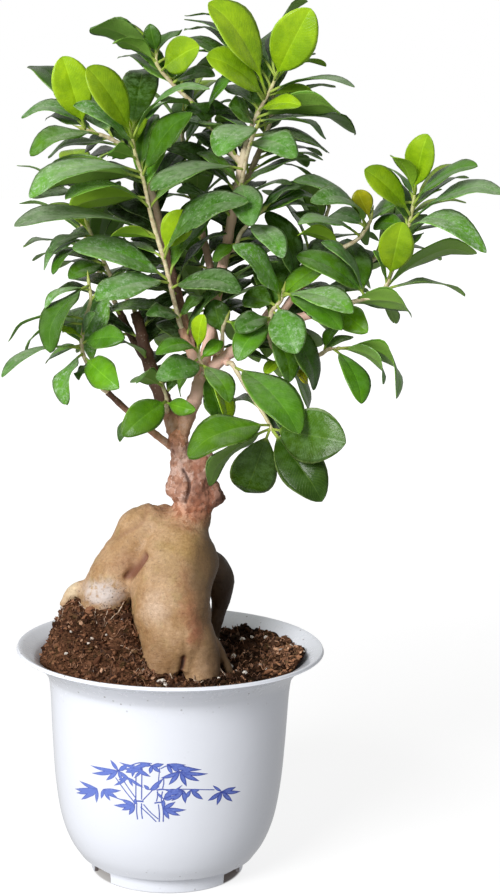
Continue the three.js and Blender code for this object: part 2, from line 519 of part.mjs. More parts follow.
// Each shoot grows on the end of the limb with the same name. stem is its row of [x, y, z]. set holds the
// leaves that make the plant's outline and front:
// [place along the stem, tip x, tip y, tip z, width, face, bow, age]. grown leaves follow by the rule below.
const SHOOTS = {
  top: {
    stem: [[37, 5, 391], [41, 3, 399], [46, 0, 409], [49, -1, 417]],
    grown: 5,
    set: [
      [0.66, 16, -18, 449, 26, 0.8, 0.1, YOUNG],
      [0.63, 15, -29, 423, 21, 0.8, 0.1, YOUNG],
      [0.88, 63, -30, 445, 23, 1, 0.08, YOUNG],
      [0.82, 73, 15, 421, 15, 0.2, 0.18, YOUNG],
      [0.72, 86, -21, 411, 21, 0.3, 0.1, DUSTY],
      [0.38, 80, -22, 400, 22, -0.4, 0.08, FRESH],
      [0.68, 69, -20, 404, 15, -0.3, 0.12, YOUNG],
      [0.92, 62, 21, 453, 21, 0.3, 0.18, DUSTY],
      [0.76, 47, 26, 441, 19, 0.7, 0.08, OLD],
      [0.79, 2, 16, 443, 27, 0.3, 0.12, DUSTY],
      [0.92, 5, -1, 448, 25, 0.2, 0.1, FRESH],
      [0.48, 59, -10, 401, 10, 0.9, 0.08, YOUNG],
      [0.32, 74, -25, 388, 21, 0.3, 0.1, DUSTY],
      [0.21, 90, 28, 391, 27, 0.2, 0.1, OLD],
      [0.14, 77, 28, 379, 22, 0.5, 0.08, OLD],
      [0.48, 21, 28, 411, 16, 0.7, 0.08, OLD],
    ],
  },
  crown_front: {
    stem: [[34, -8, 373], [37, -16, 384], [39, -20, 389]],
    grown: 3,
    set: [
      [0.97, 21, -58, 377, 20, 0.8, 0.12, DUSTY],
      [0.73, 56, -49, 379, 18, 0.8, 0.1, DUSTY],
      [0.38, -12, -32, 359, 25, 0.4, 0.1, DUSTY],
      [0.14, 69, 24, 374, 21, 0.3, 0.08, OLD],
      [0.19, 37, -32, 343, 17, 1, 0.12, DUSTY],
      [0.83, 19, 7, 393, 14, 0.4, 0.1, FRESH],
      [0.14, 10, 21, 377, 16, 0.5, 0.08, OLD],
    ],
  },
  crown_left: {
    stem: [[11, 8, 396], [-2, 4, 408], [-11, 1, 418], [-12, 0, 426]],
    grown: 5,
    set: [
      [0.94, -43, -20, 436, 18, -0.6, 0.12, DUSTY],
      [0.9, -32, -16, 430, 13, -0.4, 0.1, FRESH],
      [0.97, -15, -14, 438, 9, 1, 0.08, FRESH],
      [0.98, -1, 18, 437, 11, 0.7, 0.08, FRESH],
      [0.83, 9, -28, 427, 18, 1, 0.06, YOUNG],
      [0.76, 8, 28, 408, 14, 1, 0.06, OLD],
      [0.42, -15, -18, 393, 16, 0.2, 0.16, DUSTY],
      [0.63, 18, 30, 424, 17, 0.4, 0.08, OLD],
      [0.17, -11, 34, 404, 19, 0.3, 0.1, OLD],
    ],
  },
  left_top: {
    stem: [[-3, -2, 309], [-6, -3, 321], [-13, -6, 344], [-17, -8, 362], [-21, -9, 374], [-23, -9, 384]],
    grown: 8,
    set: [
      [0.98, -43, -29, 416, 20, 0.8, 0.08, YOUNG],
      [0.99, -19, 9, 421, 19, 1, 0.06, OLD],
      [0.93, -49, -30, 399, 18, 0.5, 0.1, DUSTY],
      [0.88, -33, -29, 376, 11, -0.6, 0.08, FRESH],
      [0.81, -70, -42, 357, 29, 0.5, 0.12, DUSTY],
      [0.78, -71, 7, 360, 26, -0.5, 0.1, FRESH],
      [0.63, -53, -34, 355, 22, 0.3, 0.16, FRESH],
      [0.68, -55, 10, 347, 20, -0.5, 0.08, YOUNG],
      [0.48, -78, -33, 341, 34, 0.2, 0.1, DUSTY],
      [0.79, 5, -25, 396, 19, 0.8, 0.08, FRESH],
      [0.47, -32, -19, 335, 12, -0.5, 0.08, YOUNG],
      [0.36, 32, -25, 356, 25, 0.6, 0.14, DUSTY],
      [0.39, 4, -26, 347, 16, 1, 0.06, YOUNG],
      [0.63, 14, 17, 366, 18, 0.4, 0.1, OLD],
      [0.21, 32, -29, 311, 20, 0.7, 0.12, DUSTY],
      [0.25, -51, -33, 329, 27, 0.6, 0.1, DUSTY],
      [0.24, -38, -33, 304, 21, 0.7, 0.1, DUSTY],
      [0.09, -39, 26, 294, 21, 0.4, 0.08, OLD],
      [0.05, 13, 24, 304, 13, 0.6, 0.08, OLD],
      [0.05, -12, -20, 297, 11, 0.6, 0.1, DUSTY],
    ],
  },
  left_side: {
    stem: [[-32, 17, 307], [-38, 15, 319], [-43, 13, 330], [-47, 12, 339]],
    grown: 5,
    set: [
      [0.85, -65, -1, 326, 12, 0.4, 0.12, DUSTY],
      [0.78, -68, -6, 316, 16, 0.4, 0.22, DUSTY],
      [0.69, -63, -4, 315, 14, 0.3, 0.2, FRESH],
      [0.83, -56, 31, 334, 10, 0.8, 0.08, OLD],
      [0.55, -54, -4, 313, 12, 0.8, 0.08, OLD],
      [0.94, -44, 33, 352, 12, 0.4, 0.08, FRESH],
      [0.41, -64, 44, 316, 18, 0.4, 0.1, OLD],
      [0.2, -28, 49, 329, 19, 0.5, 0.1, OLD],
    ],
  },
  left_low: {
    stem: [[-43, -7, 267], [-47, -8, 276], [-46, -8, 289], [-43, -6, 301], [-44, -5, 309]],
    grown: 4,
    set: [
      [0.99, -63, -35, 281, 20, 0.6, 0.12, FRESH],
      [0.95, -65, -20, 300, 12, 0.4, 0.14, DUSTY],
      [0.69, -85, -8, 283, 19, 0.2, 0.14, FRESH],
      [0.65, -79, 2, 273, 17, 0.2, 0.16, DUSTY],
      [0.44, -85, -30, 265, 21, 0.2, 0.14, DUSTY],
      [0.4, -55, -32, 253, 16, 0.6, 0.12, DUSTY],
      [0.47, -67, 4, 268, 12, 0.5, 0.08, OLD],
      [0.49, -25, -29, 285, 14, 0.9, 0.08, FRESH],
      [0.35, -27, -34, 261, 16, 1, 0.1, FRESH],
      [0.3, -48, -19, 263, 7, 0.6, 0.08, DUSTY],
      [0.56, -40, -20, 296, 8, 0.7, 0.1, DUSTY],
      [0.86, -13, 18, 290, 18, 0.7, 0.08, OLD],
      [0.94, -34, 19, 315, 13, 0.6, 0.08, OLD],
      [0.53, -60, -19, 288, 8, 0.5, 0.08, YOUNG],
    ],
  },
  low_left: {
    stem: [[-4, -5, 252], [-6, -6, 258]],
    grown: 2,
    set: [
      [1, -19, -32, 266, 14, -0.7, 0.08, OLD],
      [0.49, -23, -33, 238, 17, 1, 0.12, FRESH],
      [0.42, 10, -19, 248, 9, 1, 0.08, FRESH],
      [0.42, -28, 3, 234, 14, 0.3, 0.12, DUSTY],
    ],
  },
  low_mid: {
    stem: [[13, -7, 271], [12, -9, 276], [12, -9, 279]],
    grown: 1,
    set: [
      [0.37, -6, -32, 267, 15, 0.9, 0.12, DUSTY],
      [0.37, 28, -21, 243, 16, 0.5, 0.1, YOUNG],
      [0.89, 14, -20, 296, 10, 0.8, 0.06, YOUNG],
      [0.82, -8, -26, 278, 12, 0.6, 0.2, FRESH],
      [0.4, 29, -28, 256, 14, 0.8, 0.1, OLD],
      [0.58, 24, 4, 282, 8, 0.9, 0.08, FRESH],
      [0.66, 2, -4, 253, 11, 0.5, 0.12, OLD],
    ],
  },
  mid: {
    stem: [[24, 0, 287], [26, -4, 293]],
    grown: 3,
    set: [
      [0.27, 24, 2, 246, 16, 0.6, 0.12, OLD],
      [0.54, 19, 20, 302, 14, 1, 0.06, OLD],
      [0.74, 6, 18, 300, 13, 0.6, 0.08, OLD],
      [0.27, 32, -6, 271, 7, 0.8, 0.06, YOUNG],
      [0.94, 44, 15, 283, 13, 0.8, 0.08, OLD],
    ],
  },
  right_front: {
    stem: [[49, -7, 298], [53, -10, 303], [54, -13, 308]],
    grown: 3,
    set: [
      [0.97, 83, -34, 294, 18, 0.8, 0.1, YOUNG],
      [0.63, 61, -34, 280, 19, 1, 0.1, DUSTY],
      [0.27, 31, -27, 290, 13, 0.8, 0.1, DUSTY],
      [0.27, 32, -29, 277, 16, 0.9, 0.1, FRESH],
      [0.76, 30, -32, 332, 19, 0.7, 0.1, DUSTY],
      [0.88, 87, -41, 303, 20, 0.5, 0.1, DUSTY],
      [0.27, 40, 21, 312, 15, 0.6, 0.08, FRESH],
      [0.46, 73, -8, 259, 21, 0.7, 0.1, FRESH],
      [0.27, 59, 5, 263, 17, 0.8, 0.08, OLD],
    ],
  },
  fork_low: {
    stem: [[36, -12, 260], [45, -20, 248], [50, -24, 240]],
    grown: 3,
    set: [
      [0.12, 63, -41, 244, 24, 0.8, 0.1, FRESH],
      [0.95, 10, -53, 234, 23, 0.8, 0.1, FRESH],
      [1, 85, -54, 239, 28, 1, 0.08, OLD],
      [1, 75, -53, 210, 23, 1, 0.1, FRESH],
      [0.97, 37, -9, 203, 24, 1, 0.08, OLD],
      [0.99, 17, -10, 211, 21, -0.4, 0.08, DUSTY],
      [0.75, 57, 0, 263, 13, 0.6, 0.08, OLD],
      [0.73, 28, -5, 249, 10, 0.4, 0.1, OLD],
    ],
  },
  bud_low: {
    stem: [[54, -3, 273], [59, -6, 269], [62, -8, 265]],
    grown: 2,
    set: [
      [0.76, 68, -13, 261, 8, 0.7, 0.06, BUD],
      [0.5, 46, -13, 267, 7, 0.9, 0.06, YOUNG],
      [0.38, 73, 18, 275, 13, 0.8, 0.08, OLD],
    ],
  },
  right_end: {
    stem: [[88, -2, 302], [96, -6, 305], [103, -8, 306], [107, -9, 315], [111, -9, 327], [116, -8, 341],
      [118, -7, 352], [119, -6, 360]],
    grown: 7,
    set: [
      [0.29, 61, -27, 327, 22, 0.6, 0.1, OLD],
      [0.27, 75, -19, 335, 18, 0.3, 0.1, DUSTY],
      [0.27, 87, 16, 334, 18, 0.9, 0.06, OLD],
      [0.15, 119, -27, 302, 18, -0.5, 0.12, FRESH],
      [0.1, 95, -24, 291, 14, 1, 0.08, OLD],
      [0.06, 64, 21, 310, 14, 0.6, 0.08, OLD],
      [0.98, 122, -25, 387, 16, 0.9, 0.06, YOUNG],
      [0.97, 106, -21, 377, 13, -0.5, 0.1, YOUNG],
      [0.94, 105, 9, 371, 12, 0.4, 0.1, FRESH],
      [0.85, 93, -21, 370, 17, 0.8, 0.08, YOUNG],
      [0.91, 146, -30, 374, 19, 0.4, 0.1, FRESH],
      [0.88, 146, 11, 368, 18, 0.3, 0.08, OLD],
      [0.81, 157, -38, 364, 25, 0.3, 0.1, DUSTY],
      [0.79, 100, 13, 342, 12, 0.9, 0.08, OLD],
      [0.48, 111, -30, 344, 18, 1, 0.06, YOUNG],
      [0.52, 124, 10, 339, 14, 0.6, 0.08, FRESH],
      [0.6, 151, -39, 334, 23, 0.3, 0.36, DUSTY],
      [0.38, 150, 11, 332, 25, -0.3, 0.12, FRESH],
      [0.45, 99, -20, 330, 9, 0.5, 0.06, OLD],
      [0.93, 96, 18, 332, 18, 0.4, 0.16, OLD],
    ],
  },
  right_low: {
    stem: [[78, 0, 278], [83, -3, 279]],
    grown: 2,
    set: [
      [0.91, 113, -34, 261, 22, -0.3, 0.26, FRESH],
      [0.91, 107, -22, 266, 16, -0.4, 0.2, DUSTY],
      [0.82, 95, -25, 255, 17, 0.7, 0.12, FRESH],
      [0.47, 83, 16, 290, 9, 0.7, 0.08, FRESH],
      [0.41, 91, 14, 284, 9, 0.5, 0.08, OLD],
    ],
  },
  right_up: {
    stem: [[83, 2, 329], [92, 0, 335], [97, -1, 343], [98, -1, 348]],
    grown: 5,
    set: [
      [0.82, 59, -16, 365, 21, 0.4, 0.12, DUSTY],
      [0.77, 69, -26, 357, 18, 0.3, 0.16, DUSTY],
      [0.92, 90, -6, 359, 11, 1, 0.05, BUD],
      [0.67, 61, -20, 343, 18, 0.4, 0.12, DUSTY],
      [0.43, 61, -14, 338, 14, -0.4, 0.1, YOUNG],
      [0.34, 59, 24, 349, 17, 0.7, 0.08, OLD],
      [0.5, 112, 16, 351, 16, 0.6, 0.08, OLD],
      [0.19, 92, 23, 308, 14, 0.8, 0.08, OLD],
    ],
  },
  mid_up: {
    stem: [[32, 1, 336], [37, -2, 342], [43, -4, 348]],
    grown: 4,
    set: [
      [0.87, 71, 22, 350, 18, 0.4, 0.1, OLD],
      [0.63, 53, -26, 329, 15, 0.8, 0.1, DUSTY],
      [0.23, 18, 14, 322, 10, 0.8, 0.08, OLD],
      [0.98, 61, -26, 361, 15, 0.4, 0.1, DUSTY],
      [0.28, 63, 19, 332, 17, 0.6, 0.08, OLD],
    ],
  },
  left_up: {
    stem: [[-35, 5, 382], [-41, 4, 384], [-47, 3, 386]],
    grown: 3,
    set: [
      [1, -57, -14, 421, 20, 1, 0.08, YOUNG],
      [1, -76, 21, 420, 22, 0.6, 0.1, FRESH],
      [1, -78, -14, 394, 17, 0.5, 0.22, DUSTY],
      [0.77, -72, -20, 377, 17, 0.6, 0.1, OLD],
      [0.61, -49, 23, 376, 10, 0.8, 0.08, FRESH],
      [0.3, -42, 21, 392, 9, 0.8, 0.08, OLD],
    ],
  },
  back_left: { stem: [[-46, 50, 317], [-54, 56, 339], [-56, 58, 359]], grown: 13, set: [] },
  back_mid: { stem: [[4, 46, 357], [0, 52, 379], [0, 54, 399]], grown: 13, set: [] },
  back_right: { stem: [[70, 46, 325], [78, 52, 347], [80, 52, 367]], grown: 13, set: [] },
  back_low: { stem: [[14, 50, 294], [8, 62, 307], [4, 70, 321]], grown: 10, set: [] },
  back_top: { stem: [[46, 33, 393], [48, 36, 413]], grown: 9, set: [] },
  back_end: { stem: [[106, 30, 327], [116, 32, 345]], grown: 8, set: [] },
};

// Open air seen through and round the crown, as [x, y, z, radius]. Grown leaves keep out of it.
const OPEN_AIR = [
  [90, 56, 376, 22],
  [71, 20, 372, 9],
  [-68, 70, 298, 18],
  [118, 8, 278, 19],
  [126, 36, 308, 20],
  [-26, 0, 266, 10],
  [31, 3, 250, 9],
  [134, 2, 352, 8],
];

function inOpenAir(points) {
  return OPEN_AIR.some(([x, y, z, radius]) => points.some((p) => p.distanceTo(vec(x, y, z)) < radius));
}

// The stem's points: seated on its limb's end, then straight on for a little, then its own row
function stemPoints(name) {
  const rows = LIMBS[name];
  const [tail, end] = rows.slice(-2).map(([x, y, z]) => vec(x, y, z));
  const along = end.clone().sub(tail).normalize();
  const seat = end.clone().addScaledVector(along, SEAT_GAP);
  const lead = end.clone().addScaledVector(along, 4);
  return [seat, lead, ...SHOOTS[name].stem.map(([x, y, z]) => vec(x, y, z))];
}

// The point and the direction at a share of the stem's length
function along(points, share) {
  const lengths = points.slice(1).map((p, i) => p.distanceTo(points[i]));
  let left = share * lengths.reduce((sum, length) => sum + length, 0);
  let i = 0;
  while (i < lengths.length - 1 && left > lengths[i]) {
    left -= lengths[i];
    i += 1;
  }
  const point = points[i].clone().lerp(points[i + 1], Math.min(1, left / lengths[i]));
  return { point, heading: points[i + 1].clone().sub(points[i]).normalize() };
}

function makeLeaf(shoot, base, tip, face, hint, wide, bow, age) {
  const frame = hint ? hintedFrame(base, tip, hint) : leafFrame(base, tip, face);
  const cloud = leafCloud(frame, bow, wide);
  if (hint && inOpenAir(cloud.points)) return null;
  if (!isClear(shoot, cloud.points, cloud.free)) return null;
  take(shoot, cloud.points, cloud.free, 0);
  return { frame, bow, wide, age };
}

// A grown leaf turns its upper side to the sky and to the shoot's end.
function hintedFrame(base, tip, hint) {
  const along = tip.clone().sub(base);
  const length = along.length();
  along.normalize();
  const upper = hint.clone().addScaledVector(along, -hint.dot(along)).normalize();
  const side = vec(0, 0, 0).crossVectors(along, upper);
  return { base, along, length, upper, side };
}

// A set leaf that would touch another moves its tip away from the viewer or nearer, in small steps.
function setLeaf(shoot, points, row) {
  const [share, x, y, z, wide, face, bow, age] = row;
  const base = along(points, share).point;
  for (let k = 0; k < DEPTH_TRIES; k++) {
    const shift = DEPTH_STEP * Math.ceil(k / 2) * (k % 2 === 1 ? 1 : -1);
    const leaf = makeLeaf(shoot, base, vec(x, y + shift, z), face, null, wide, bow, age);
    if (leaf) return leaf;
  }
  return null;
}

// Grown leaves stand round the stem by the golden angle. One that would touch another is turned on, and is
// left out where no turn is free. On a shoot with set leaves they fill its hidden side.
function grownLeaf(shoot, points, k, count, behind) {
  const share = 0.1 + (0.86 * (k + 0.5)) / count;
  const { point, heading: ahead } = along(points, share);
  const first = vec(0, 0, 1).cross(ahead).normalize();
  const second = vec(0, 0, 0).crossVectors(ahead, first);
  const length = (37 + 13 * random()) * (1 - 0.3 * share ** 2);
  const wide = length * (0.43 + 0.07 * random());
  const start = GOLDEN_ANGLE * k + 30 * random();
  const rise = 12 + 30 * share + 16 * random();
  const old = random() < 0.55 ? OLD : DUSTY;
  const age = share > 0.86 ? YOUNG : share > 0.62 ? FRESH : old;
  for (let t = 0; t < TRIES; t++) {
    const turn = rad(start + 47 * t);
    const lift = rad(rise + 9 * (t % 3));
    const aim = first
      .clone()
      .multiplyScalar(Math.cos(lift) * Math.cos(turn))
      .addScaledVector(second, Math.cos(lift) * Math.sin(turn))
      .addScaledVector(ahead, Math.sin(lift));
    aim.z -= 0.22 * (1 - share);
    aim.normalize();
    if (behind && aim.y < FRONT_SHOOTS_GROW_BEHIND) continue;
    const tip = point.clone().addScaledVector(aim, length);
    if (tip.z < 220 || tip.z > 441) continue;
    const hint = vec(0, 0, 0.8).addScaledVector(ahead, 0.5);
    const leaf = makeLeaf(shoot, point, tip, 0, hint, wide, 0.1, age);
    if (leaf) return leaf;
  }
  return null;
}

function noteWood() {
  for (const rows of Object.values(LIMBS)) {
    const points = rows.map(([x, y, z]) => vec(x, y, z));
    take("wood", trail(points, 3), 0, rows[0][3]);
  }
  for (const name of Object.keys(SHOOTS)) take(name, trail(stemPoints(name), 3), 0, STEM_BASE_RADIUS);
}

function growLeaves() {
  noteWood();
  const leaves = {};
  for (const [name, shoot] of Object.entries(SHOOTS)) {
    const points = stemPoints(name);
    leaves[name] = shoot.set.map((row) => setLeaf(name, points, row)).filter(Boolean);
  }
  for (const [name, shoot] of Object.entries(SHOOTS)) {
    const points = stemPoints(name);
    for (let k = 0; k < shoot.grown; k++) {
      const leaf = grownLeaf(name, points, k, shoot.grown, shoot.set.length > 0);
      if (leaf) leaves[name].push(leaf);
    }
  }
  return leaves;
}

function shootSolid(name, leaves) {
  const points = stemPoints(name);
  const rows = points.map((p, i) => {
    const share = i / (points.length - 1);
    return [p.x, p.y, p.z, STEM_BASE_RADIUS + (STEM_TIP_RADIUS - STEM_BASE_RADIUS) * share];
  });
  return join([limb(rows, STEM_SIDES), ...leaves.map(leafSolid)]);
}

// Materials

const material = (color, roughness) => new THREE.MeshStandardMaterial({ color, roughness, metalness: 0 });
const POT_FINISH = material(0xeef0f6, 0.22);
const SOIL_FINISH = material(0x3a2418, 0.95);
const BARK_FINISH = material(0xb0906a, 0.6);
const LEAF_FINISH = material(0x3f7a2a, 0.45);

function named(name, body, finish) {
  const mesh = new THREE.Mesh(toGeometry(body), finish);
  mesh.name = name;
  return mesh;
}

const bonsai = new THREE.Group();
bonsai.add(named("pot", potSolid(), POT_FINISH));
bonsai.add(named("soil", soilSolid(), SOIL_FINISH));
bonsai.add(named("trunk", trunkSolid(), BARK_FINISH));
for (const [name, leaves] of Object.entries(growLeaves())) {
  bonsai.add(named(`shoot_${name}`, shootSolid(name, leaves), LEAF_FINISH));
}

export default bonsai;
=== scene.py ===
# %% [markdown]
# # A ficus ginseng bonsai in its pot
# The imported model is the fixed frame: every piece below is made in the same millimetres as the solids,
# turned into metres once, and laid over the solid that it stands for.
# %% Load the frame
import math

import bpy
import numpy as np
from mathutils import Matrix, noise


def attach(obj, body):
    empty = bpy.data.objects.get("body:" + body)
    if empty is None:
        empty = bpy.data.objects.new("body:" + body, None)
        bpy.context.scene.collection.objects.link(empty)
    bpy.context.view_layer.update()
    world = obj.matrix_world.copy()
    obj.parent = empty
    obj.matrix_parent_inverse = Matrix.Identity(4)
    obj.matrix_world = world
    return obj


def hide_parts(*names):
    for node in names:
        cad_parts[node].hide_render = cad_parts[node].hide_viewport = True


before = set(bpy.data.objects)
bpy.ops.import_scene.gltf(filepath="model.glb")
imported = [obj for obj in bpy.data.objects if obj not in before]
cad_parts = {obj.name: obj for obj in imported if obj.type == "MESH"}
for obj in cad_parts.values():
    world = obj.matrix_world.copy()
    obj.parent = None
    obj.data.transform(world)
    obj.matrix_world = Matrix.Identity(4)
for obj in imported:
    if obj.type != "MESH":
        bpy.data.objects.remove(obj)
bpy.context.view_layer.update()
MM = 0.001

# %% [markdown]
# ## The camera
# The view was worked out from the pot: its rim, its foot and its straight sides fix how high the lens
# stands and how far it looks down. A long lens keeps the plant from spreading at the edges.
# %% Camera
CAMERA_PLACE = (39.2, -978.0, 388.4)
CAMERA_DOWN = 9.42
CAMERA_ROLL = 1.28
FOCAL_PIXELS = 1925.4
PHOTO_HEIGHT = 896
SENSOR = 36.0

lens = bpy.data.cameras.new("camera")
lens.sensor_fit = "VERTICAL"
lens.sensor_height = SENSOR
lens.sensor_width = SENSOR
lens.lens = FOCAL_PIXELS / PHOTO_HEIGHT * SENSOR
camera = bpy.data.objects.new("camera", lens)
bpy.context.collection.objects.link(camera)
down = Matrix.Rotation(math.radians(90 - CAMERA_DOWN), 4, "X")
roll = Matrix.Rotation(math.radians(CAMERA_ROLL), 4, "Z")
camera.matrix_world = Matrix.Translation([c * MM for c in CAMERA_PLACE]) @ (down @ roll)
bpy.context.scene.camera = camera
print("lens", round(lens.lens, 1), "mm")

# %% [markdown]
# ## Materials as expressions
# A finish is a few sums of noises and masks. Writing them with plus and times signs keeps them readable:
# each sign adds the node that a hand would have placed. Values use Math nodes, while vectors and colours
# use Vector Math and Mix nodes, because a Math node would turn a colour grey.
# %% Sockets with arithmetic
class Socket:
    """One output of a node in a finish, with arithmetic."""

    def __init__(self, finish, output):
        self.finish = finish
        self.output = output

    def sum_of(self, operation, other, swap=False):
        """The node for one sign, of the vector kind as soon as one side is a vector or a colour."""
        pair = (other, self) if swap else (self, other)
        vector = any(isinstance(p, Socket) and p.output.type in ("VECTOR", "RGBA") for p in pair)
        kind = "ShaderNodeVectorMath" if vector else "ShaderNodeMath"
        if vector:
            pair = [p if isinstance(p, Socket) or hasattr(p, "__len__") else (p, p, p) for p in pair]
        return self.finish.node(kind, {"operation": operation}, dict(enumerate(pair)))

    def __add__(self, other):
        return self.sum_of("ADD", other)

    __radd__ = __add__

    def __sub__(self, other):
        return self.sum_of("SUBTRACT", other)

    def __rsub__(self, other):
        return self.sum_of("SUBTRACT", other, swap=True)

    def __mul__(self, other):
        return self.sum_of("MULTIPLY", other)

    __rmul__ = __mul__

    def __pow__(self, other):
        return self.sum_of("POWER", other)

    def over(self, low, high):
        """0 below low and 1 above high, eased in between."""
        ease = {"interpolation_type": "SMOOTHSTEP"}
        values = {"Value": self, "From Min": low, "From Max": high}
        return self.finish.node("ShaderNodeMapRange", ease, values)

    def sine(self):
        return self.finish.node("ShaderNodeMath", {"operation": "SINE"}, {0: self})

    def size(self):
        """A number without its sign."""
        return self.finish.node("ShaderNodeMath", {"operation": "ABSOLUTE"}, {0: self})

    def length(self):
        """How long a vector is."""
        return self.finish.node("ShaderNodeVectorMath", {"operation": "LENGTH"}, {0: self}, 1)


# %% A finish
class Finish:
    """A material, written as expressions."""

    def __init__(self, name, **constants):
        self.start_on(bpy.data.materials.new(name), "Principled BSDF")
        for socket, value in constants.items():
            self.last.inputs[socket.replace("_", " ")].default_value = value

    def start_on(self, holder, last):
        """Starts on the nodes of a material or a world. last is the node that everything feeds."""
        holder.use_nodes = True
        self.holder = holder
        self.tree = holder.node_tree
        self.last = self.tree.nodes[last]

    def node(self, kind, settings=None, values=None, output=0):
        """Any node: its settings are set first, then the values or links of its sockets."""
        node = self.tree.nodes.new(kind)
        for name, value in (settings or {}).items():
            setattr(node, name, value)
        for name, value in (values or {}).items():
            if isinstance(value, Socket):
                self.tree.links.new(value.output, node.inputs[name])
            else:
                node.inputs[name].default_value = value
        return Socket(self, node.outputs[output])

    def place(self):
        """The point on the object, in millimetres."""
        return self.node("ShaderNodeTexCoord", output="Object") * 1000.0

    def noise(self, place, size, detail=3.0, rough=0.55, twist=0.0):
        """Cloudy noise from 0 to 1 with patches of about this size in millimetres."""
        values = {"Vector": place, "Scale": 1 / size, "Detail": detail, "Roughness": rough}
        values["Distortion"] = twist
        return self.node("ShaderNodeTexNoise", None, values)

    def cells(self, place, size, feature="F1"):
        """The distance to the nearest of scattered points about this far apart."""
        return self.node("ShaderNodeTexVoronoi", {"feature": feature}, {"Vector": place, "Scale": 1 / size})

    def stored(self, name):
        """A number that the mesh keeps at its points or faces."""
        return self.node("ShaderNodeAttribute", {"attribute_name": name}, output="Fac")

    def mix(self, factor, first, second):
        """From the first colour to the second as the factor goes from 0 to 1."""
        values = {0: factor, 6: colour(first), 7: colour(second)}
        return self.node("ShaderNodeMix", {"data_type": "RGBA"}, values, output=2)

    def along(self, place, axis):
        """One coordinate of a place."""
        return self.node("ShaderNodeSeparateXYZ", None, {0: place}, output=axis)

    def bumps(self, *layers):
        """The normal after bumps, each a pair of height in millimetres and the value that it follows."""
        normal = None
        for height, value in layers:
            values = {"Height": value, "Distance": height * MM, "Strength": 1.0}
            if normal:
                values["Normal"] = normal
            normal = self.node("ShaderNodeBump", None, values)
        return normal

    def feed(self, **sockets):
        """Links values to the last node's inputs and gives back the finished material or world."""
        for name, value in sockets.items():
            self.tree.links.new(value.output, self.last.inputs[name.replace("_", " ")])
        return self.holder


class Room(Finish):
    """The light of the room, written in the same way."""

    def __init__(self, name):
        self.start_on(bpy.data.worlds.new(name), "World Output")
        self.tree.nodes.remove(self.tree.nodes["Background"])


def colour(value):
    return value if isinstance(value, Socket) else (*value, 1.0)


# %% [markdown]
# ## Points, skins and pieces
# Limbs, twigs and green stems are all rows of places with a radius. A smooth curve is run through each
# row and a ring of points is hung round it, as a basket maker bends staves round hoops.
# %% Helpers for points
def place(*numbers):
    return np.array(numbers, float)


def unit(v):
    return v / np.linalg.norm(v)


def ramp(value, start, end):
    """0 before the start, 1 past the end, eased in between."""
    t = np.clip((value - start) / (end - start), 0, 1)
    return t * t * (3 - 2 * t)


def through(rows, steps):
    """A smooth curve through rows of numbers, with so many steps between each two."""
    rows = np.asarray(rows, float)
    padded = np.vstack([2 * rows[0] - rows[1], rows, 2 * rows[-1] - rows[-2]])
    found = []
    for i in range(1, len(padded) - 2):
        a, b, c, d = padded[i - 1 : i + 3]
        for k in range(steps):
            t = k / steps
            eased = 2 * b + (c - a) * t + (2 * a - 5 * b + 4 * c - d) * t**2
            found.append(0.5 * (eased + (3 * b - a - 3 * c + d) * t**3))
    return np.array(found + [rows[-1]])


def headings(points):
    """The direction of the curve at each of its points."""
    return np.array([unit(v) for v in np.gradient(points, axis=0)])


# %% [markdown]
# ## Gathering a mesh
# A piece such as a leafy shoot is made of dozens of small closed nets. They are gathered in one list of
# points and faces and become one mesh at the end, which is far quicker than joining objects. A number kept
# at each point, such as how far along a leaf it is, is what the finish reads later.
# %% Skins and pieces
class Skin:
    """Points and faces gathered for one mesh, with numbers kept for each point."""

    def __init__(self):
        self.points, self.faces, self.kept = [], [], {}

    def add(self, points, faces, **kept):
        start = len(self.points)
        self.points.extend(points)
        self.faces.extend([tuple(start + i for i in face) for face in faces])
        for name, values in kept.items():
            self.kept.setdefault(name, []).extend(np.broadcast_to(values, len(points)))

    def piece(self, name, finish, slot, *nodes, smooth=True):
        """The finished object: it stands for the nodes, rides with the part and has one material."""
        mesh = bpy.data.meshes.new(name)
        mesh.from_pydata([tuple(p * MM) for p in self.points], [], self.faces)
        for key, values in self.kept.items():
            mesh.attributes.new(key, "FLOAT", "POINT").data.foreach_set("value", np.array(values, "f"))
        mesh.materials.append(finish)
        if smooth:
            mesh.shade_smooth()
        return finished(bpy.data.objects.new(name, mesh), slot, *nodes)


def finished(piece, slot, *nodes):
    """Puts a piece in the scene: it rides with the part, and the solids that it stands for are hidden."""
    if piece.name not in bpy.context.collection.objects:
        bpy.context.collection.objects.link(piece)
    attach(piece, "root")
    if nodes:
        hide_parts(*nodes)
    print(piece.name, len(piece.data.polygons), "faces")
    return piece


def tube(rows, sides, deep=(0, 1, 0)):
    """Rings along rows of [x, y, z, radius across, radius deep], closed with a point at both ends."""
    rows = np.asarray(rows, float)
    centres, across, thick = rows[:, :3], rows[:, 3], rows[:, -1]
    points, faces = [], []
    for centre, along, wide, high in zip(centres, headings(centres), across, thick):
        b = unit(np.array(deep) - along * np.dot(deep, along))
        a = np.cross(along, b)
        for k in range(sides):
            angle = 2 * math.pi * k / sides
            points.append(centre + a * wide * math.cos(angle) + b * high * math.sin(angle))
    for r in range(len(rows) - 1):
        for k in range(sides):
            here, beside = r * sides + k, r * sides + (k + 1) % sides
            faces.append((here, beside, beside + sides, here + sides))
    last = (len(rows) - 1) * sides
    points += [centres[0], centres[-1]]
    faces += [(len(points) - 2, (k + 1) % sides, k) for k in range(sides)]
    faces += [(len(points) - 1, last + k, last + (k + 1) % sides) for k in range(sides)]
    return points, faces

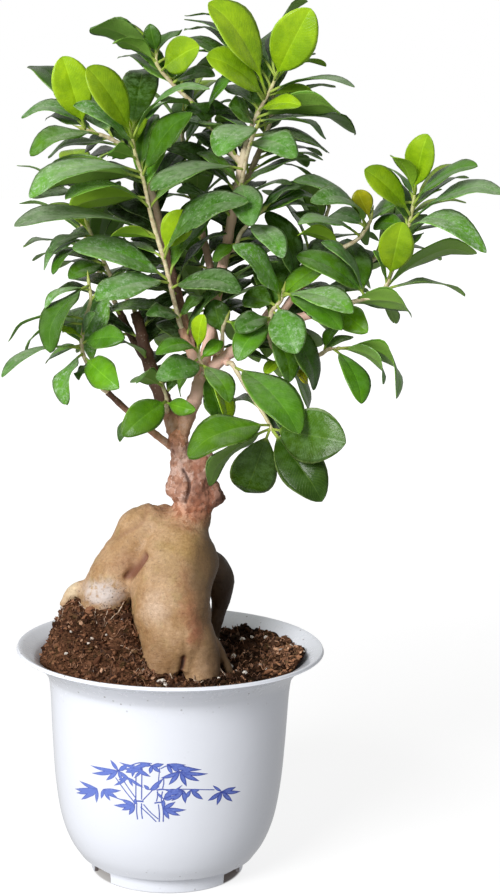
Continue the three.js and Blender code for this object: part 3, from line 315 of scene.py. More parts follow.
# %% [markdown]
# ## The pot
# A cheap moulded plastic pot: one thin wall from the foot over a rolled lip and down inside. It could be
# pushed out of a cylinder, but it is a turned thing, so its line is drawn once and swung round the axis.
# Three gaps in the foot ring and four drain holes are cut out afterwards.
# %% The line of the wall
RIM_RADIUS = 80
RIM_TOP = 120.9
WALL = 1.8
FLOOR_TOP = 10.5
FLOOR_UNDER = 8
PAD_RADIUS = 10
POT_SIDES = 160
# Radius and height, from the foot up to the lip and down inside
OUTER_WALL = [
  [40.2, 0],
  [40.8, 7.5],
  [46.5, 9.5],
  [52, 18],
  [56.6, 31],
  [59.6, 50],
  [61.3, 73],
  [63, 101],
  [66, 109],
  [72, 115.3],
]
LIP = [
  [RIM_RADIUS - 0.6, 118.9],
  [RIM_RADIUS, 119.8],
  [RIM_RADIUS - 1.4, RIM_TOP],
]
INNER_WALL = [
  [71, 116.8],
  [64.6, 110.4],
  [63 - WALL, 101.5],
  [61.3 - WALL, 73],
  [59.6 - WALL, 50],
  [56.6 - WALL, 31.6],
  [50.2, 19],
  [44, 12],
  [38, FLOOR_TOP],
]
outer = through(OUTER_WALL[2:], 5)
lip = through([OUTER_WALL[-1], *LIP, INNER_WALL[0]], 4)[1:-1]
inner = through(INNER_WALL, 4)
pad = [(0, 0), (PAD_RADIUS - 0.4, 0), (PAD_RADIUS, 0.4), (PAD_RADIUS + 0.6, FLOOR_UNDER)]
foot_inside = [(37.2, FLOOR_UNDER), (37.6, 0.4), (38, 0), (39.8, 0)]
foot = [*foot_inside, (40.3, 0.5), (40.8, 7.2), (41.4, 7.9), (44, 8.6)]
pot_line = [*pad, *foot, *outer, *lip, *inner, (0, FLOOR_TOP)]
print("points on the line of the wall:", len(pot_line))


def wall_radius(z):
    """The outside of the pot's wall at a height."""
    return np.interp(z, outer[:, 1], outer[:, 0])


# %% Turning
def turned(line, sides):
    """The skin swung from a line of (radius, height) that starts and ends on the axis."""
    rim = line[1:-1]
    count = len(rim)
    points, faces = [place(0, 0, line[0][1]), place(0, 0, line[-1][1])], []
    for k in range(sides):
        angle = 2 * math.pi * k / sides
        points += [place(r * math.cos(angle), r * math.sin(angle), z) for r, z in rim]
    for k in range(sides):
        here, beside = 2 + k * count, 2 + (k + 1) % sides * count
        faces += [(0, beside, here), (1, here + count - 1, beside + count - 1)]
        faces += [(here + i, beside + i, beside + i + 1, here + i + 1) for i in range(count - 1)]
    return points, faces


# %% Loose objects and cutting
def loose(name, points, faces):
    """An object from points in millimetres, not yet a piece."""
    mesh = bpy.data.meshes.new(name)
    mesh.from_pydata([tuple(np.array(p) * MM) for p in points], [], faces)
    piece = bpy.data.objects.new(name, mesh)
    bpy.context.collection.objects.link(piece)
    return piece


def settled(piece):
    """The piece's mesh after its modifiers, which are then dropped."""
    whole = piece.evaluated_get(bpy.context.evaluated_depsgraph_get())
    mesh = bpy.data.meshes.new_from_object(whole)
    piece.modifiers.clear()
    piece.data = mesh
    return piece


def cut_away(piece, tool):
    """Takes the tool's form out of the piece and drops the tool."""
    change = piece.modifiers.new("cut", "BOOLEAN")
    change.object = tool
    change.solver = "EXACT"
    settled(piece)
    bpy.data.objects.remove(tool)


def post(corners, low, high):
    """A prism that stands on a row of (x, y), for cutting."""
    count = len(corners)
    points = [(x, y, z) for z in (low, high) for x, y in corners]
    faces = [tuple(range(count))[::-1], tuple(range(count, 2 * count))]
    faces += [(i, (i + 1) % count, (i + 1) % count + count, i + count) for i in range(count)]
    return points, faces


def turned_by(corners, degrees):
    """Corners turned round the axis of the pot."""
    c, s = math.cos(math.radians(degrees)), math.sin(math.radians(degrees))
    return [(x * c - y * s, x * s + y * c) for x, y in corners]


# %% [markdown]
# ## Notches and drain holes
# The foot ring has three gaps, so that water runs off from under the pot, and four holes let it out of the
# floor. Each is a plain prism, taken away from the turned wall by a Boolean as a cutter would.
# %% Cut the foot and the floor
NOTCH_COUNT = 3
NOTCH_FIRST = -57.5
NOTCH_WIDTH = 19
NOTCH_HEIGHT = 5.5
DRAIN_COUNT = 4
DRAIN_RADIUS = 4
DRAIN_RING = 24

pot = loose("pot_body", *turned(pot_line, POT_SIDES))
notch = [(33, -NOTCH_WIDTH / 2), (45, -NOTCH_WIDTH / 2), (45, NOTCH_WIDTH / 2), (33, NOTCH_WIDTH / 2)]
for i in range(NOTCH_COUNT):
    angle = NOTCH_FIRST - 90 + 360 / NOTCH_COUNT * i
    cut_away(pot, loose("tool", *post(turned_by(notch, angle), -NOTCH_HEIGHT, NOTCH_HEIGHT)))
turns = [k * math.pi / 12 for k in range(24)]
round_hole = [(DRAIN_RING + DRAIN_RADIUS * math.cos(a), DRAIN_RADIUS * math.sin(a)) for a in turns]
for i in range(DRAIN_COUNT):
    cut_away(pot, loose("tool", *post(turned_by(round_hole, 45 + 360 / DRAIN_COUNT * i), -1, 2 * FLOOR_TOP)))
print("pot after cutting:", len(pot.data.polygons), "faces")

# %% [markdown]
# ## Glossy white plastic
# Near white with a blue cast. The gloss is broken by fine ripples of the mould, rubbed patches and small
# brown specks of soil that gather under the rim and at the foot. The specks are the middles of scattered
# cells, kept only where a cloudy noise is high.
# %% Pot finish
plastic = Finish("pot_plastic", IOR=1.5, Coat_Weight=0.25, Coat_Roughness=0.12)
at = plastic.place()
height = plastic.along(at, 2)
near_edges = height.over(96, 112) + (1 - height.over(6, 22)) * 0.9 + 0.06
patches = plastic.noise(at, 16, 2).over(0.42, 0.62)
specks = (1 - plastic.cells(at, 4.2).over(0.06, 0.17)) * patches * near_edges
dust = plastic.noise(at, 5, 5, 0.7).over(0.52, 0.8) * near_edges * 0.16
scuffs = plastic.noise(at * (1.0, 1.0, 0.12), 1.6, 3).over(0.62, 0.75) * near_edges * 0.12
base = plastic.mix(dust + scuffs, (0.85, 0.875, 0.945), (0.42, 0.38, 0.34))
base = plastic.mix(specks * 0.7, base, (0.16, 0.12, 0.1))
reach = (at * (1.0, 1.0, 0.0)).length()
# Dark soil stain and painted shade under the pot's floor, inside the foot ring
soil_and_shade_under_floor = (1 - reach.over(39.5, 39.9)) * (1 - height.over(8.2, 9.0))
base = plastic.mix(soil_and_shade_under_floor * (0.7 + patches * 0.25), base, (0.09, 0.055, 0.04))
ripples = plastic.noise(at, 9, 2)
pot_finish = plastic.feed(
    Base_Color=base,
    Roughness=0.2 + dust + scuffs + ripples * 0.08,
    Normal=plastic.bumps((0.12, ripples), (0.02, plastic.noise(at, 0.7, 2)), (0.15, specks)),
)
pot.data.materials.clear()
pot.data.materials.append(pot_finish)
pot.data.shade_smooth()
pot.data.set_sharp_from_angle(angle=math.radians(32))
finished(pot, "pot_plastic", "pot")

# %% [markdown]
# ## The printed bamboo
# A plain old ornament of bamboo canes with fans of narrow leaves, in one blue. Without a picture to wrap
# round the wall, each stroke is its own thin patch laid just off the plastic, so that it bends with it.
# Places are given along the wall (arc) and up it (height), and a tone at each point makes a stroke pool
# darker at its root, as ink does.
# %% Strokes of ink
INK_LIFT = 0.06
# Each fan: arc and height of its root, then arc and height of the tip and the width of each leaf
INK_FANS = [
    [-10.5, 73.5, (-18.5, 75, 1.52), (-23, 75.5, 1.61), (-19.5, 70.5, 1.52),
        (-15, 68, 1.61), (-22.5, 72.5, 1.42)],
    [-18, 68, (-26, 62.5, 1.61), (-23.5, 66, 1.52), (-10, 63.5, 1.61),
        (-13, 65, 1.52), (-15.5, 63.5, 1.42)],
    [0, 58, (-3.5, 61.5, 1.33), (4.5, 63.5, 2.09), (9.5, 65.5, 1.71), (9, 60.5, 1.71), (4.5, 58, 1.52)],
    [-23.5, 71, (-28, 76, 2.09), (-40.5, 70.5, 1.9), (-39.5, 66.5, 2.28), (-30.5, 64.5, 2.28),
        (-21.5, 65.5, 1.9), (-16.5, 66.5, 2.09), (-18, 75, 2.47)],
    [-15, 74, (-7, 76.5, 2.28), (-6.5, 69.5, 2.28), (-16, 68.5, 1.9), (-19.5, 70.5, 1.9)],
    [-6, 75.5, (-12.5, 76.5, 2.09), (0, 76.5, 2.28), (-7, 71, 2.09), (-1.5, 72, 2.09)],
    [1.5, 76.5, (19, 73, 2.66), (11, 76, 2.09), (4.5, 71, 2.09)],
    [8, 72.5, (22.5, 70.5, 2.09), (18, 67, 2.47), (11.5, 64.5, 2.47), (2.5, 65.5, 2.47),
        (-1.5, 69, 2.28), (15.5, 74, 2.28), (3.5, 75.5, 2.09)],
    [-36, 59, (-48.5, 60, 2.09), (-52.5, 54.5, 2.47), (-51.5, 52.5, 2.28),
        (-47.5, 50, 2.47), (-41.5, 53, 2.28), (-36.5, 51, 2.28)],
    [-32, 59.5, (-22, 60.5, 2.28), (-24, 56.5, 2.47), (-28, 54, 2.28), (-33.5, 54, 2.09)],
    [-7, 62.5, (0, 69, 2.09), (-2, 65, 2.09), (-10, 65, 1.9)],
    [10, 62.5, (0, 63, 2.09), (0.5, 60.5, 2.28), (4, 57, 2.47), (11, 55.5, 2.47)],
    [13.5, 62.5, (20, 57, 2.47), (18, 62, 1.9), (11, 58, 2.09)],
    [30, 60, (41.5, 58, 2.09), (38.5, 61, 2.28), (36.5, 53.5, 2.47),
        (27.5, 53, 2.47), (22.5, 56, 2.47), (25, 64, 1.52)],
    [-14.5, 54, (-26, 52, 2.28), (-22, 56, 2.28), (-21.5, 50, 2.28), (-17.5, 48, 2.47), (-14, 57.5, 1.9)],
    [0, 53, (11.5, 52, 2.28), (6, 56.5, 2.28), (8.5, 49, 2.28), (3, 47, 2.28), (0, 58, 2.09)],
]
# Canes, joints and stalks: width, then arc and height of points along each
INK_LINES = [
    [0.6, (-14, 70), (-14, 63), (-14, 56.5)],
    [0.6, (-11, 70.5), (-11, 64), (-11, 57)],
    [0.8, (-15.5, 55.5), (-13, 56), (-10, 56)],
    [0.6, (-13.5, 55), (-13.5, 50), (-13, 46)],
    [0.6, (-11, 55), (-11, 50.5), (-10.5, 46.5)],
    [0.5, (-2, 74.5), (-2.5, 68.5), (-2.5, 64)],
    [0.6, (0, 69), (0, 66), (-0.5, 63.5)],
    [0.8, (-3.5, 62.5), (-1.5, 63), (0.5, 63)],
    [0.6, (-3, 62), (-3, 59), (-3.5, 56.5)],
    [0.6, (-0.5, 62), (-1, 59), (-1, 56.5)],
    [0.8, (-4.5, 55.5), (-2.5, 56), (0, 56)],
    [0.6, (-2.5, 55), (-2, 50.5), (-2, 45.5)],
    [0.6, (-0.5, 55), (0, 50.5), (0, 45.5)],
    [0.55, (-25, 67), (-20, 61), (-15.5, 56)],
    [0.55, (-22, 68), (-18, 62.5), (-14, 57.5)],
    [0.55, (-11.5, 53), (-7, 49), (-3.5, 45.5)],
    [0.55, (-10, 54.5), (-6.5, 50.5), (-2.5, 47)],
    [0.55, (0, 69), (-5.5, 62.5), (-10.5, 56.5)],
    [0.5, (0, 63), (12, 63), (26, 61.5)],
    [0.55, (-26.5, 56.5), (-21, 55.5), (-15.5, 54.5)],
    [0.6, (-17, 74.5), (-12, 76.5), (-6, 76.5)],
    [0.55, (-15, 74), (-12.5, 72.5), (-12.5, 70)],
    [0.55, (4.5, 74.5), (1.5, 75.5), (-1.5, 74)],
]


# %% Laying a stroke on the wall
def on_wall(arc, height, lift=INK_LIFT):
    """A place on the outside of the pot, just off the plastic."""
    r = wall_radius(height)
    angle = arc / r
    return place((r + lift) * math.sin(angle), -(r + lift) * math.cos(angle), height)


def stroke(skin, line, widths, tones):
    """A ribbon of ink along a line of (arc, height) with a width and a tone at each point."""
    line = np.asarray(line, float)
    aside = headings(line)[:, ::-1] * (1, -1)
    points, tone = [], []
    for p, n, w, t in zip(line, aside, widths, tones):
        for side in (-1, -0.45, 0.45, 1):
            points.append(on_wall(*(p + n * side * w / 2), INK_LIFT if abs(side) < 1 else 0.03))
            tone.append(t + (0.75 if abs(side) == 1 else 0))
    faces = []
    for i in range(len(line) - 1):
        faces += [(4 * i + k, 4 * i + k + 4, 4 * i + k + 5, 4 * i + k + 1) for k in range(3)]
    skin.add(points, faces, tone=tone)


def inked_leaf(skin, root, tip, width, sag):
    """One stroke of the brush: narrow at the root, full in the middle, pointed and a little sagging."""
    root, tip = np.array(root, float), np.array(tip, float)
    t = np.linspace(0, 1, 11)
    line = root + (tip - root) * t[:, None]
    line[:, 1] -= sag * 4 * t * (1 - t)
    widths = width * np.sin(np.pi * np.clip(t, 0.02, 0.99) ** 0.9)
    stroke(skin, line, widths, 0.75 - 0.7 * np.sin(np.pi * t) ** 0.6)


# %% Ink the fans and the lines
ink = Skin()
for root_arc, root_z, *tips in INK_FANS:
    for arc, z, width in tips:
        inked_leaf(ink, (root_arc, root_z), (arc, z), width, 0.04 * abs(arc - root_arc))
for row in INK_LINES:
    line = through(row[1:], 5)
    stroke(ink, line, [row[0]] * len(line), [0.35] * len(line))
print("ink leaves:", sum(len(row) - 2 for row in INK_FANS), "and lines:", len(INK_LINES))

# %% [markdown]
# ## Blue ink
# The print is one blue that lies thin in places and pools in others. The tone kept at each point runs it
# from a light wash to full dark, and a noise fades it where the plastic has rubbed bare.
# %% Ink finish
blue = Finish("printed_blue", Roughness=0.32, IOR=1.5, Coat_Weight=0.2, Coat_Roughness=0.15)
at = blue.place()
tone = blue.stored("tone") + blue.noise(at, 1.6, 4) * 0.6 - 0.3
faded = blue.noise(at, 0.9, 3).over(0.55, 0.75) * 0.25
tone = tone + blue.along(at, 0).over(-40, 30) * 0.45 - 0.15
wash = blue.mix(tone.over(0.0, 1.1), (0.14, 0.21, 0.64), (0.016, 0.032, 0.29))
print_finish = blue.feed(
    Base_Color=blue.mix(faded, wash, (0.62, 0.68, 0.86)),
    Normal=blue.bumps((0.02, blue.noise(at, 0.6, 2))),
)
ink.piece("pot_print", print_finish, "pot_plastic")

# %% [markdown]
# ## Soil
# Potting mix is a loose heap, higher behind the plant's left leg and pushed against the rim there. One
# closed skin gives the heap its form, and thousands of separate crumbs on it give the broken edge that a
# bump alone can't show. The skin is a net of rings that ends where the heap meets the pot.
# %% The lie of the soil
SOIL_GAP = 0.35
SOIL_SECTORS = 220
SOIL_RINGS = 84
SOIL_WALL_HEIGHTS = (109, 106, 103, 99, 90, 73, 50, 31.6, 19.4, 12.4)
SOIL_FLOOR = 10.9
SOIL_WIDEST = 76
INSIDE_RADIUS = 66


def heap(x, y):
    """The height of the soil, before its grain: heaped at the left, with a pile by the right rim."""
    rise = 31.5 * ramp(x, -71, -51) * ramp(x, 3, -27) * ramp(y, -62, -3) * ramp(y, 64, 18)
    pile = 8.5 * np.exp(-(((x - 67) / 16) ** 2) - ((y + 10) / 27) ** 2)
    back = 4 * ramp(x, 10, 44) * ramp(y, 4, 40)
    bank = 6 * np.exp(-(((x + 21.5) / 5) ** 2) - ((y + 21) / 7) ** 2)
    lumps = 0.8 * np.sin(0.41 * x + 1.3) * np.cos(0.37 * y) + 0.6 * np.sin(0.23 * (x - y))
    return 112 + rise + pile + back + bank + lumps


def grain(x, y):
    """Clods and hollows of a few millimetres."""
    clods = 2.2 * noise.noise((x / 7, y / 7, 3)) + 1.2 * noise.noise((x / 2.6, y / 2.6, 8))
    return clods + 0.7 * noise.noise((x / 1.2, y / 1.2, 1))


def soil_top(x, y):
    return heap(x, y) + grain(x, y)


inside_z, inside_r = inner[::-1, 1], inner[::-1, 0]


def soil_edge(angle):
    """How far out the heap reaches before it meets the pot."""
    r = INSIDE_RADIUS
    for _ in range(30):
        z = heap(r * math.cos(angle), r * math.sin(angle))
        r = 0.5 * r + 0.5 * min(SOIL_WIDEST, np.interp(z, inside_z, inside_r) - SOIL_GAP)
    return r


edges = [soil_edge(2 * math.pi * s / SOIL_SECTORS) for s in range(SOIL_SECTORS)]
print("soil reaches", round(min(edges), 1), "to", round(max(edges), 1), "mm from the axis")

# %% The skin of the soil
bed = Skin()
points = [place(0, 0, soil_top(0, 0))]
for ring in range(1, SOIL_RINGS + 1):
    for s, edge in enumerate(edges):
        angle = 2 * math.pi * s / SOIL_SECTORS
        r = edge * ring / SOIL_RINGS
        x, y = r * math.cos(angle), r * math.sin(angle)
        points.append(place(x, y, soil_top(x, y) if ring < SOIL_RINGS else heap(x, y)))
wall_steps = [(np.interp(z, inside_z, inside_r) - SOIL_GAP, z) for z in SOIL_WALL_HEIGHTS]
for r, z in [*wall_steps, (30, SOIL_FLOOR)]:
    angles = 2 * np.pi * np.arange(SOIL_SECTORS) / SOIL_SECTORS
    points += [place(r * math.cos(a), r * math.sin(a), z) for a in angles]
points.append(place(0, 0, SOIL_FLOOR))
rings = (len(points) - 2) // SOIL_SECTORS
faces = []
for s in range(SOIL_SECTORS):
    t = (s + 1) % SOIL_SECTORS
    last = 1 + (rings - 1) * SOIL_SECTORS
    faces += [(0, 1 + s, 1 + t), (len(points) - 1, last + t, last + s)]
    for ring in range(rings - 1):
        a, b = 1 + ring * SOIL_SECTORS, 1 + (ring + 1) * SOIL_SECTORS
        faces.append((a + s, b + s, b + t, a + t))
bed.add(points, faces)

# %% [markdown]
# ## Colour of the soil
# Peat is nearly black when damp and brown when dry. A fine noise mixes the two, a wide one dampens whole
# patches, and the right side, which the crown shades, is kept dark. A sheen would make it look like
# plastic, so there is hardly any.
# %% Soil finish
earth = Finish("soil", Specular_IOR_Level=0.03)
at = earth.place()
damp = earth.noise(at, 24, 2).over(0.4, 0.62)
right = earth.along(at, 0).over(-6, 34)
dark = earth.mix(earth.noise(at, 1.7, 5, 0.7).over(0.3, 0.7), (0.016, 0.007, 0.004), (0.22, 0.1, 0.052))
moss = earth.noise(at, 4, 3).over(0.55, 0.7) * 0.5
dark = earth.mix(moss, dark, (0.04, 0.035, 0.012))
ground = earth.mix(damp * 0.35 + right * 0.6, dark, (0.006, 0.003, 0.002))
soil_finish = earth.feed(
    Base_Color=ground,
    Roughness=0.95 - damp * 0.2,
    Normal=earth.bumps((1.2, earth.noise(at, 2.6, 6, 0.7)), (0.5, earth.cells(at, 1.3))),
)
bed.piece("soil_bed", soil_finish, "potting_mix", "soil")

# %% [markdown]
# ## Crumbs, perlite and fibres
# Each crumb is a ball of twenty faces with its corners pulled about, so no two are alike. All draws come
# from one seeded stream, and the same heap appears each time. Perlite is the white volcanic grit in the
# mix, and the fibres are bits of coir and dead root.
# %% Scattering over the soil
CRUMB_COUNT = 8800
PERLITE_COUNT = 96
FIBRE_COUNT = 520
draws = np.random.default_rng(53)
GOLDEN = (1 + 5**0.5) / 2
BALL = [unit(place(*p)) for p in (
    (-1, GOLDEN, 0), (1, GOLDEN, 0), (-1, -GOLDEN, 0), (1, -GOLDEN, 0),
    (0, -1, GOLDEN), (0, 1, GOLDEN), (0, -1, -GOLDEN), (0, 1, -GOLDEN),
    (GOLDEN, 0, -1), (GOLDEN, 0, 1), (-GOLDEN, 0, -1), (-GOLDEN, 0, 1),
)]
BALL_FACES = [
    (0, 11, 5), (0, 5, 1), (0, 1, 7), (0, 7, 10), (0, 10, 11),
    (1, 5, 9), (5, 11, 4), (11, 10, 2), (10, 7, 6), (7, 1, 8),
    (3, 9, 4), (3, 4, 2), (3, 2, 6), (3, 6, 8), (3, 8, 9),
    (4, 9, 5), (2, 4, 11), (6, 2, 10), (8, 6, 7), (9, 8, 1),
]


# %% Crumbs and perlite
def spot(reach=0.985):
    """A place drawn evenly over the soil."""
    angle = draws.uniform(0, 2 * math.pi)
    edge = edges[int(angle / (2 * math.pi) * SOIL_SECTORS) % SOIL_SECTORS]
    r = edge * reach * math.sqrt(draws.uniform(0, 1))
    return r * math.cos(angle), r * math.sin(angle)


def crumb(skin, x, y, size, squash=0.7, sunk=0.15, tilt=0.9, **kept):
    """One rough grain that sits in the soil."""
    stretch = size * draws.uniform(0.6, 1.25, 3) * (draws.uniform(1, 1.9), 1, squash)
    turn = Matrix.Rotation(draws.uniform(0, 6.28), 3, "Z")
    spin = turn @ Matrix.Rotation(draws.uniform(-tilt, tilt), 3, "Y")
    centre = place(x, y, soil_top(x, y) + size * (squash - sunk) * 0.6)
    corners = [centre + np.array(spin) @ (b * stretch * draws.uniform(0.75, 1.2)) for b in BALL]
    skin.add(corners, BALL_FACES, **kept)


crumbs = Skin()
for i in range(CRUMB_COUNT):
    x, y = spot()
    size = 0.36 + 0.95 * draws.uniform() ** 2.2 + (1.5 * draws.uniform() ** 2 if i % 12 == 0 else 0)
    crumb(crumbs, x, y, size, 0.35 + 0.45 * draws.uniform(), shade=draws.uniform(), bark=float(i % 7 == 0))
white_grit = Skin()
for i in range(PERLITE_COUNT):
    x, y = spot()
    crumb(white_grit, x, y, 0.55 + 1.2 * draws.uniform() ** 1.8, 0.8, 0.0, shade=draws.uniform())
print("crumbs", len(crumbs.points) // 12, "perlite", len(white_grit.points) // 12)

# %% Fibres
threads = Skin()
for i in range(FIBRE_COUNT):
    x, y = spot(0.93)
    turn, reach = draws.uniform(0, 2 * math.pi), 2 + 8 * draws.uniform() ** 2.5
    thick = 0.14 + 0.22 * draws.uniform() ** 2
    rows = []
    for k in range(6):
        rows.append((x, y, soil_top(x, y) + 0.4 + 2.2 * math.sin(k * 1.1 + i) ** 2, thick * (1 - 0.12 * k)))
        turn += draws.normal(0, 0.22)
        x, y = x + reach / 6 * math.cos(turn), y + reach / 6 * math.sin(turn)
    if math.hypot(x, y) < INSIDE_RADIUS:
        threads.add(*tube(through(rows, 2), 4), shade=draws.uniform())

# %% [markdown]
# ## Colour of crumbs, grit and fibres
# Each grain keeps a number, drawn when it was made, that runs its colour from dark to light, and one in
# seven is a bit of bark. Crumbs and perlite stay flat-faced, because a broken grain has edges.
# %% Finishes of the scattered things
grit = Finish("crumbs", Specular_IOR_Level=0.04, Roughness=0.92)
at = grit.place()
shade = grit.stored("shade") + grit.noise(at, 1.2, 3) * 0.4 - 0.2
brown = grit.mix(shade.over(0.2, 1.0), (0.045, 0.02, 0.012), (0.29, 0.135, 0.072))
brown = grit.mix(grit.stored("shade").over(0.95, 0.97) * 0.8, brown, (0.55, 0.34, 0.22))
brown = grit.mix(grit.stored("bark") * 0.6, brown, (0.1, 0.038, 0.02))
brown = grit.mix(grit.noise(at, 5, 2).over(0.55, 0.68) * 0.5, brown, (0.07, 0.055, 0.018))
far = grit.along(at, 0)
brown = grit.mix(far.over(46, 60) * 0.55, brown, brown * 1.6 + (0.13, 0.075, 0.042))
# Painted shade: crumbs right of the stem, under the crown, are darkened nearly to black, less so by the rim
right = far.over(-6, 26) * (1 - far.over(42, 56)) * 0.8
grit_finish = grit.feed(
    Base_Color=grit.mix(right, brown, (0.007, 0.004, 0.002)),
    Normal=grit.bumps((0.3, grit.noise(at, 0.8, 4, 0.7))),
)
crumbs.piece("soil_crumbs", grit_finish, "potting_mix", smooth=False)

chalk = Finish("perlite", Roughness=0.85)
at = chalk.place()
pits = chalk.cells(at, 0.6)
muddy = chalk.noise(at, 0.9, 3).over(0.45, 0.75)
grain_colour = chalk.mix(chalk.stored("shade").over(0.5, 0.85), (0.8, 0.75, 0.68), (0.78, 0.45, 0.28))
chalk_finish = chalk.feed(
    Base_Color=chalk.mix(muddy, grain_colour, (0.35, 0.24, 0.16)),
    Normal=chalk.bumps((0.2, pits)),
)
white_grit.piece("perlite", chalk_finish, "potting_mix", smooth=False)

fibre = Finish("fibres", Roughness=0.8)
at = fibre.place()
fibre_finish = fibre.feed(
    Base_Color=fibre.mix(fibre.stored("shade").over(0.2, 1.0), (0.06, 0.025, 0.013), (0.4, 0.2, 0.11)),
    Normal=fibre.bumps((0.1, fibre.noise(at, 0.4, 3))),
)
threads.piece("soil_fibres", fibre_finish, "potting_mix")

# %% [markdown]
# ## The swollen root-stem
# A ficus ginseng is grown from seed until its roots swell like potatoes, then lifted so that they show,
# and a leafier ficus is grafted on its head. The lobes could be sculpted by hand; here each is a short
# stout limb given as rings, all are fused by a voxel remesh, as clay lumps are, and the smoothing that
# follows rounds the creases where they meet.
# %% Lobes of the root-stem
# Rings of each lobe: x, y, z, radius across and radius deep
ROOT_STEM = [
  # body and front lobe
  [[8, 4, 193, 10.5, 10], [6, 3, 183, 13.5, 13], [4, -1, 175, 18, 16], [2.6, -4, 168, 21, 18.5],
    [1.4, -9, 157, 22.6, 20], [1.2, -13, 147, 21.6, 19.5], [2, -17, 134, 19.8, 18], [4, -20, 124, 19, 16.5],
    [5, -22, 113, 17, 13]],
  # the two feet that the front lobe splits into
  [[-3, -18, 134, 10.5, 11], [-4.4, -24, 121, 10, 11], [-4.4, -27, 109, 9.6, 10], [-5, -27, 88, 7, 8]],
  [[12, -17, 134, 11, 12], [16, -23, 121, 10, 11], [17.6, -26, 109, 9.6, 10.5], [18, -27, 88, 7, 8]],
  # left shoulder and leg
  [[10, 6, 181, 9, 10], [-1, 5, 182.6, 10, 11], [-12, 4, 181.4, 11.6, 12.5], [-19, 4, 178, 9, 11]],
  [[-6, 5, 187, 9.6, 10], [-14, 4, 179, 13.6, 13.5], [-23.6, 3, 165, 14, 14], [-31.4, 1, 153, 13.8, 14],
    [-35, 0, 143, 12.8, 13], [-36, -1, 133, 10.6, 11.5], [-37, -1, 117, 7, 8]],
  # a thin root that leaves the foot of the left leg
  [[-38, 1, 149, 6, 6], [-46, 2, 149, 5, 5], [-52, 3, 146, 4.2, 4.2], [-57, 3, 139, 3, 3]],
  # root at the right behind, bowed away from the body, painted nearly black as shade
  [[8, 10, 166, 8, 9], [17, 15, 161.6, 8, 8.2], [23, 19, 156, 8, 8], [25, 20, 148, 7.6, 7.5],
    [25.6, 21, 140, 5.2, 5.6], [23.6, 21, 131, 4, 4.6], [22, 21, 121, 3.6, 4], [21, 21, 98, 3, 3]],
  # root at the left behind
  [[-2, 10, 185, 11, 11], [-8, 20, 171, 12, 12], [-13, 27, 155, 11, 11], [-17, 31, 139, 9.5, 10],
    [-18, 33, 123, 8, 8.5], [-18, 33, 98, 6, 6]],
  # thin surface root at the right foot
  [[18, -22, 133, 4, 4], [24.6, -20, 126, 2.8, 2.8], [29, -19, 118, 2.2, 2.2], [33, -18, 106, 1.7, 1.7]],
]

# %% Lobes of the graft
GRAFT = [
  [[8.6, 4, 184, 11.4, 11], [9, 4, 196, 11.6, 11], [8.6, 3, 207, 12, 10.8], [6.4, 3, 215, 9.4, 9.2],
    [3, 3, 222, 5.8, 6.6], [2, 3, 229, 5, 5.5], [2.5, 3, 236, 5.2, 5]],
  # swollen stub at the right with a knob on it
  [[8, 1, 203, 7, 7], [13, -1, 212, 6, 6.4], [15.6, -1, 219, 5.4, 5.6], [16.4, -1, 224, 3, 3.4]],
  # branch cut off at the right
  [[10, 4, 195, 7, 8], [18, 4, 199, 6.6, 7], [24.8, 4, 202.6, 5.6, 6]],
]


# %% [markdown]
# ## Fusing the lobes
# The remesh lays a grid of small cubes through the lump, so the size of a cube sets the finest form that is
# kept. Here a cube is smaller than the narrowest crease. Rubbing then takes the stairs out of the skin.
# %% Fuse the lobes
VOXEL = 0.85
RUBS = 9


def fused(name, parts, voxel, smoothing):
    """One closed skin round all the parts."""
    lump = Skin()
    for points, faces in parts:
        lump.add(points, faces)
    piece = loose(name, lump.points, lump.faces)
    melt = piece.modifiers.new("melt", "REMESH")
    melt.mode = "VOXEL"
    melt.voxel_size = voxel * MM
    melt.use_smooth_shade = True
    rub = piece.modifiers.new("rub", "SMOOTH")
    rub.factor = 0.5
    rub.iterations = smoothing
    return settled(piece)


def limb_of(rows, sides, steps):
    """A stout tube through the rings. Its deep radius lies along the depth, or upright if it runs deep."""
    rows = [(*row[:4], row[-1]) for row in rows]
    span = np.abs(np.subtract(rows[-1][:3], rows[0][:3]))
    deep = (0, 0, 1) if span[1] > 0.8 * np.linalg.norm(span) else (0, 1, 0)
    return tube(through(rows, steps), sides, deep)


root_stem = fused("root_stem", [limb_of(rows, 28, 4) for rows in ROOT_STEM + GRAFT], VOXEL, RUBS)
print("root-stem", len(root_stem.data.polygons), "faces before carving")

# %% [markdown]
# ## Skin of the root-stem
# The bark is thin and wrinkles sideways like skin on a knuckle. Deep forms are moved in the mesh, where
# they change the outline; the finest lines stay in the bump. Marks that belong to one place, such as the
# healed dent and the crack in the graft, are dents with a centre and a reach.
# %% Dents and creases
DENTS = [
    # centre, reach in x, y, z, depth (a swelling where it is less than 0)
    ((-26, 0, 188), (7, 14, 7), -2.4),  # rounder left shoulder
    ((-15, 0, 194), (7, 16, 4.5), -2.4),  # and its top
    ((-3.5, 0, 196), (4.5, 14, 4), 2.6),  # dip between shoulder and graft
    ((24, -6, 169), (5, 14, 8), -2.2),  # bulge at the right of the chest
    ((24, -10, 151), (5, 14, 9), 3.0),  # waist under it
    ((-13, -28, 133), (4, 12, 7), 1.5),  # waist over the left foot
    ((-13, -30, 161), (4, 12, 8), -1.0),  # fuller left flank
    ((27, 4, 203), (2, 5, 5), 0.9),  # hollow in the cut branch
    ((9, -40, 130), (1.6, 12, 9), 0.6),  # shallow groove above the slit
]
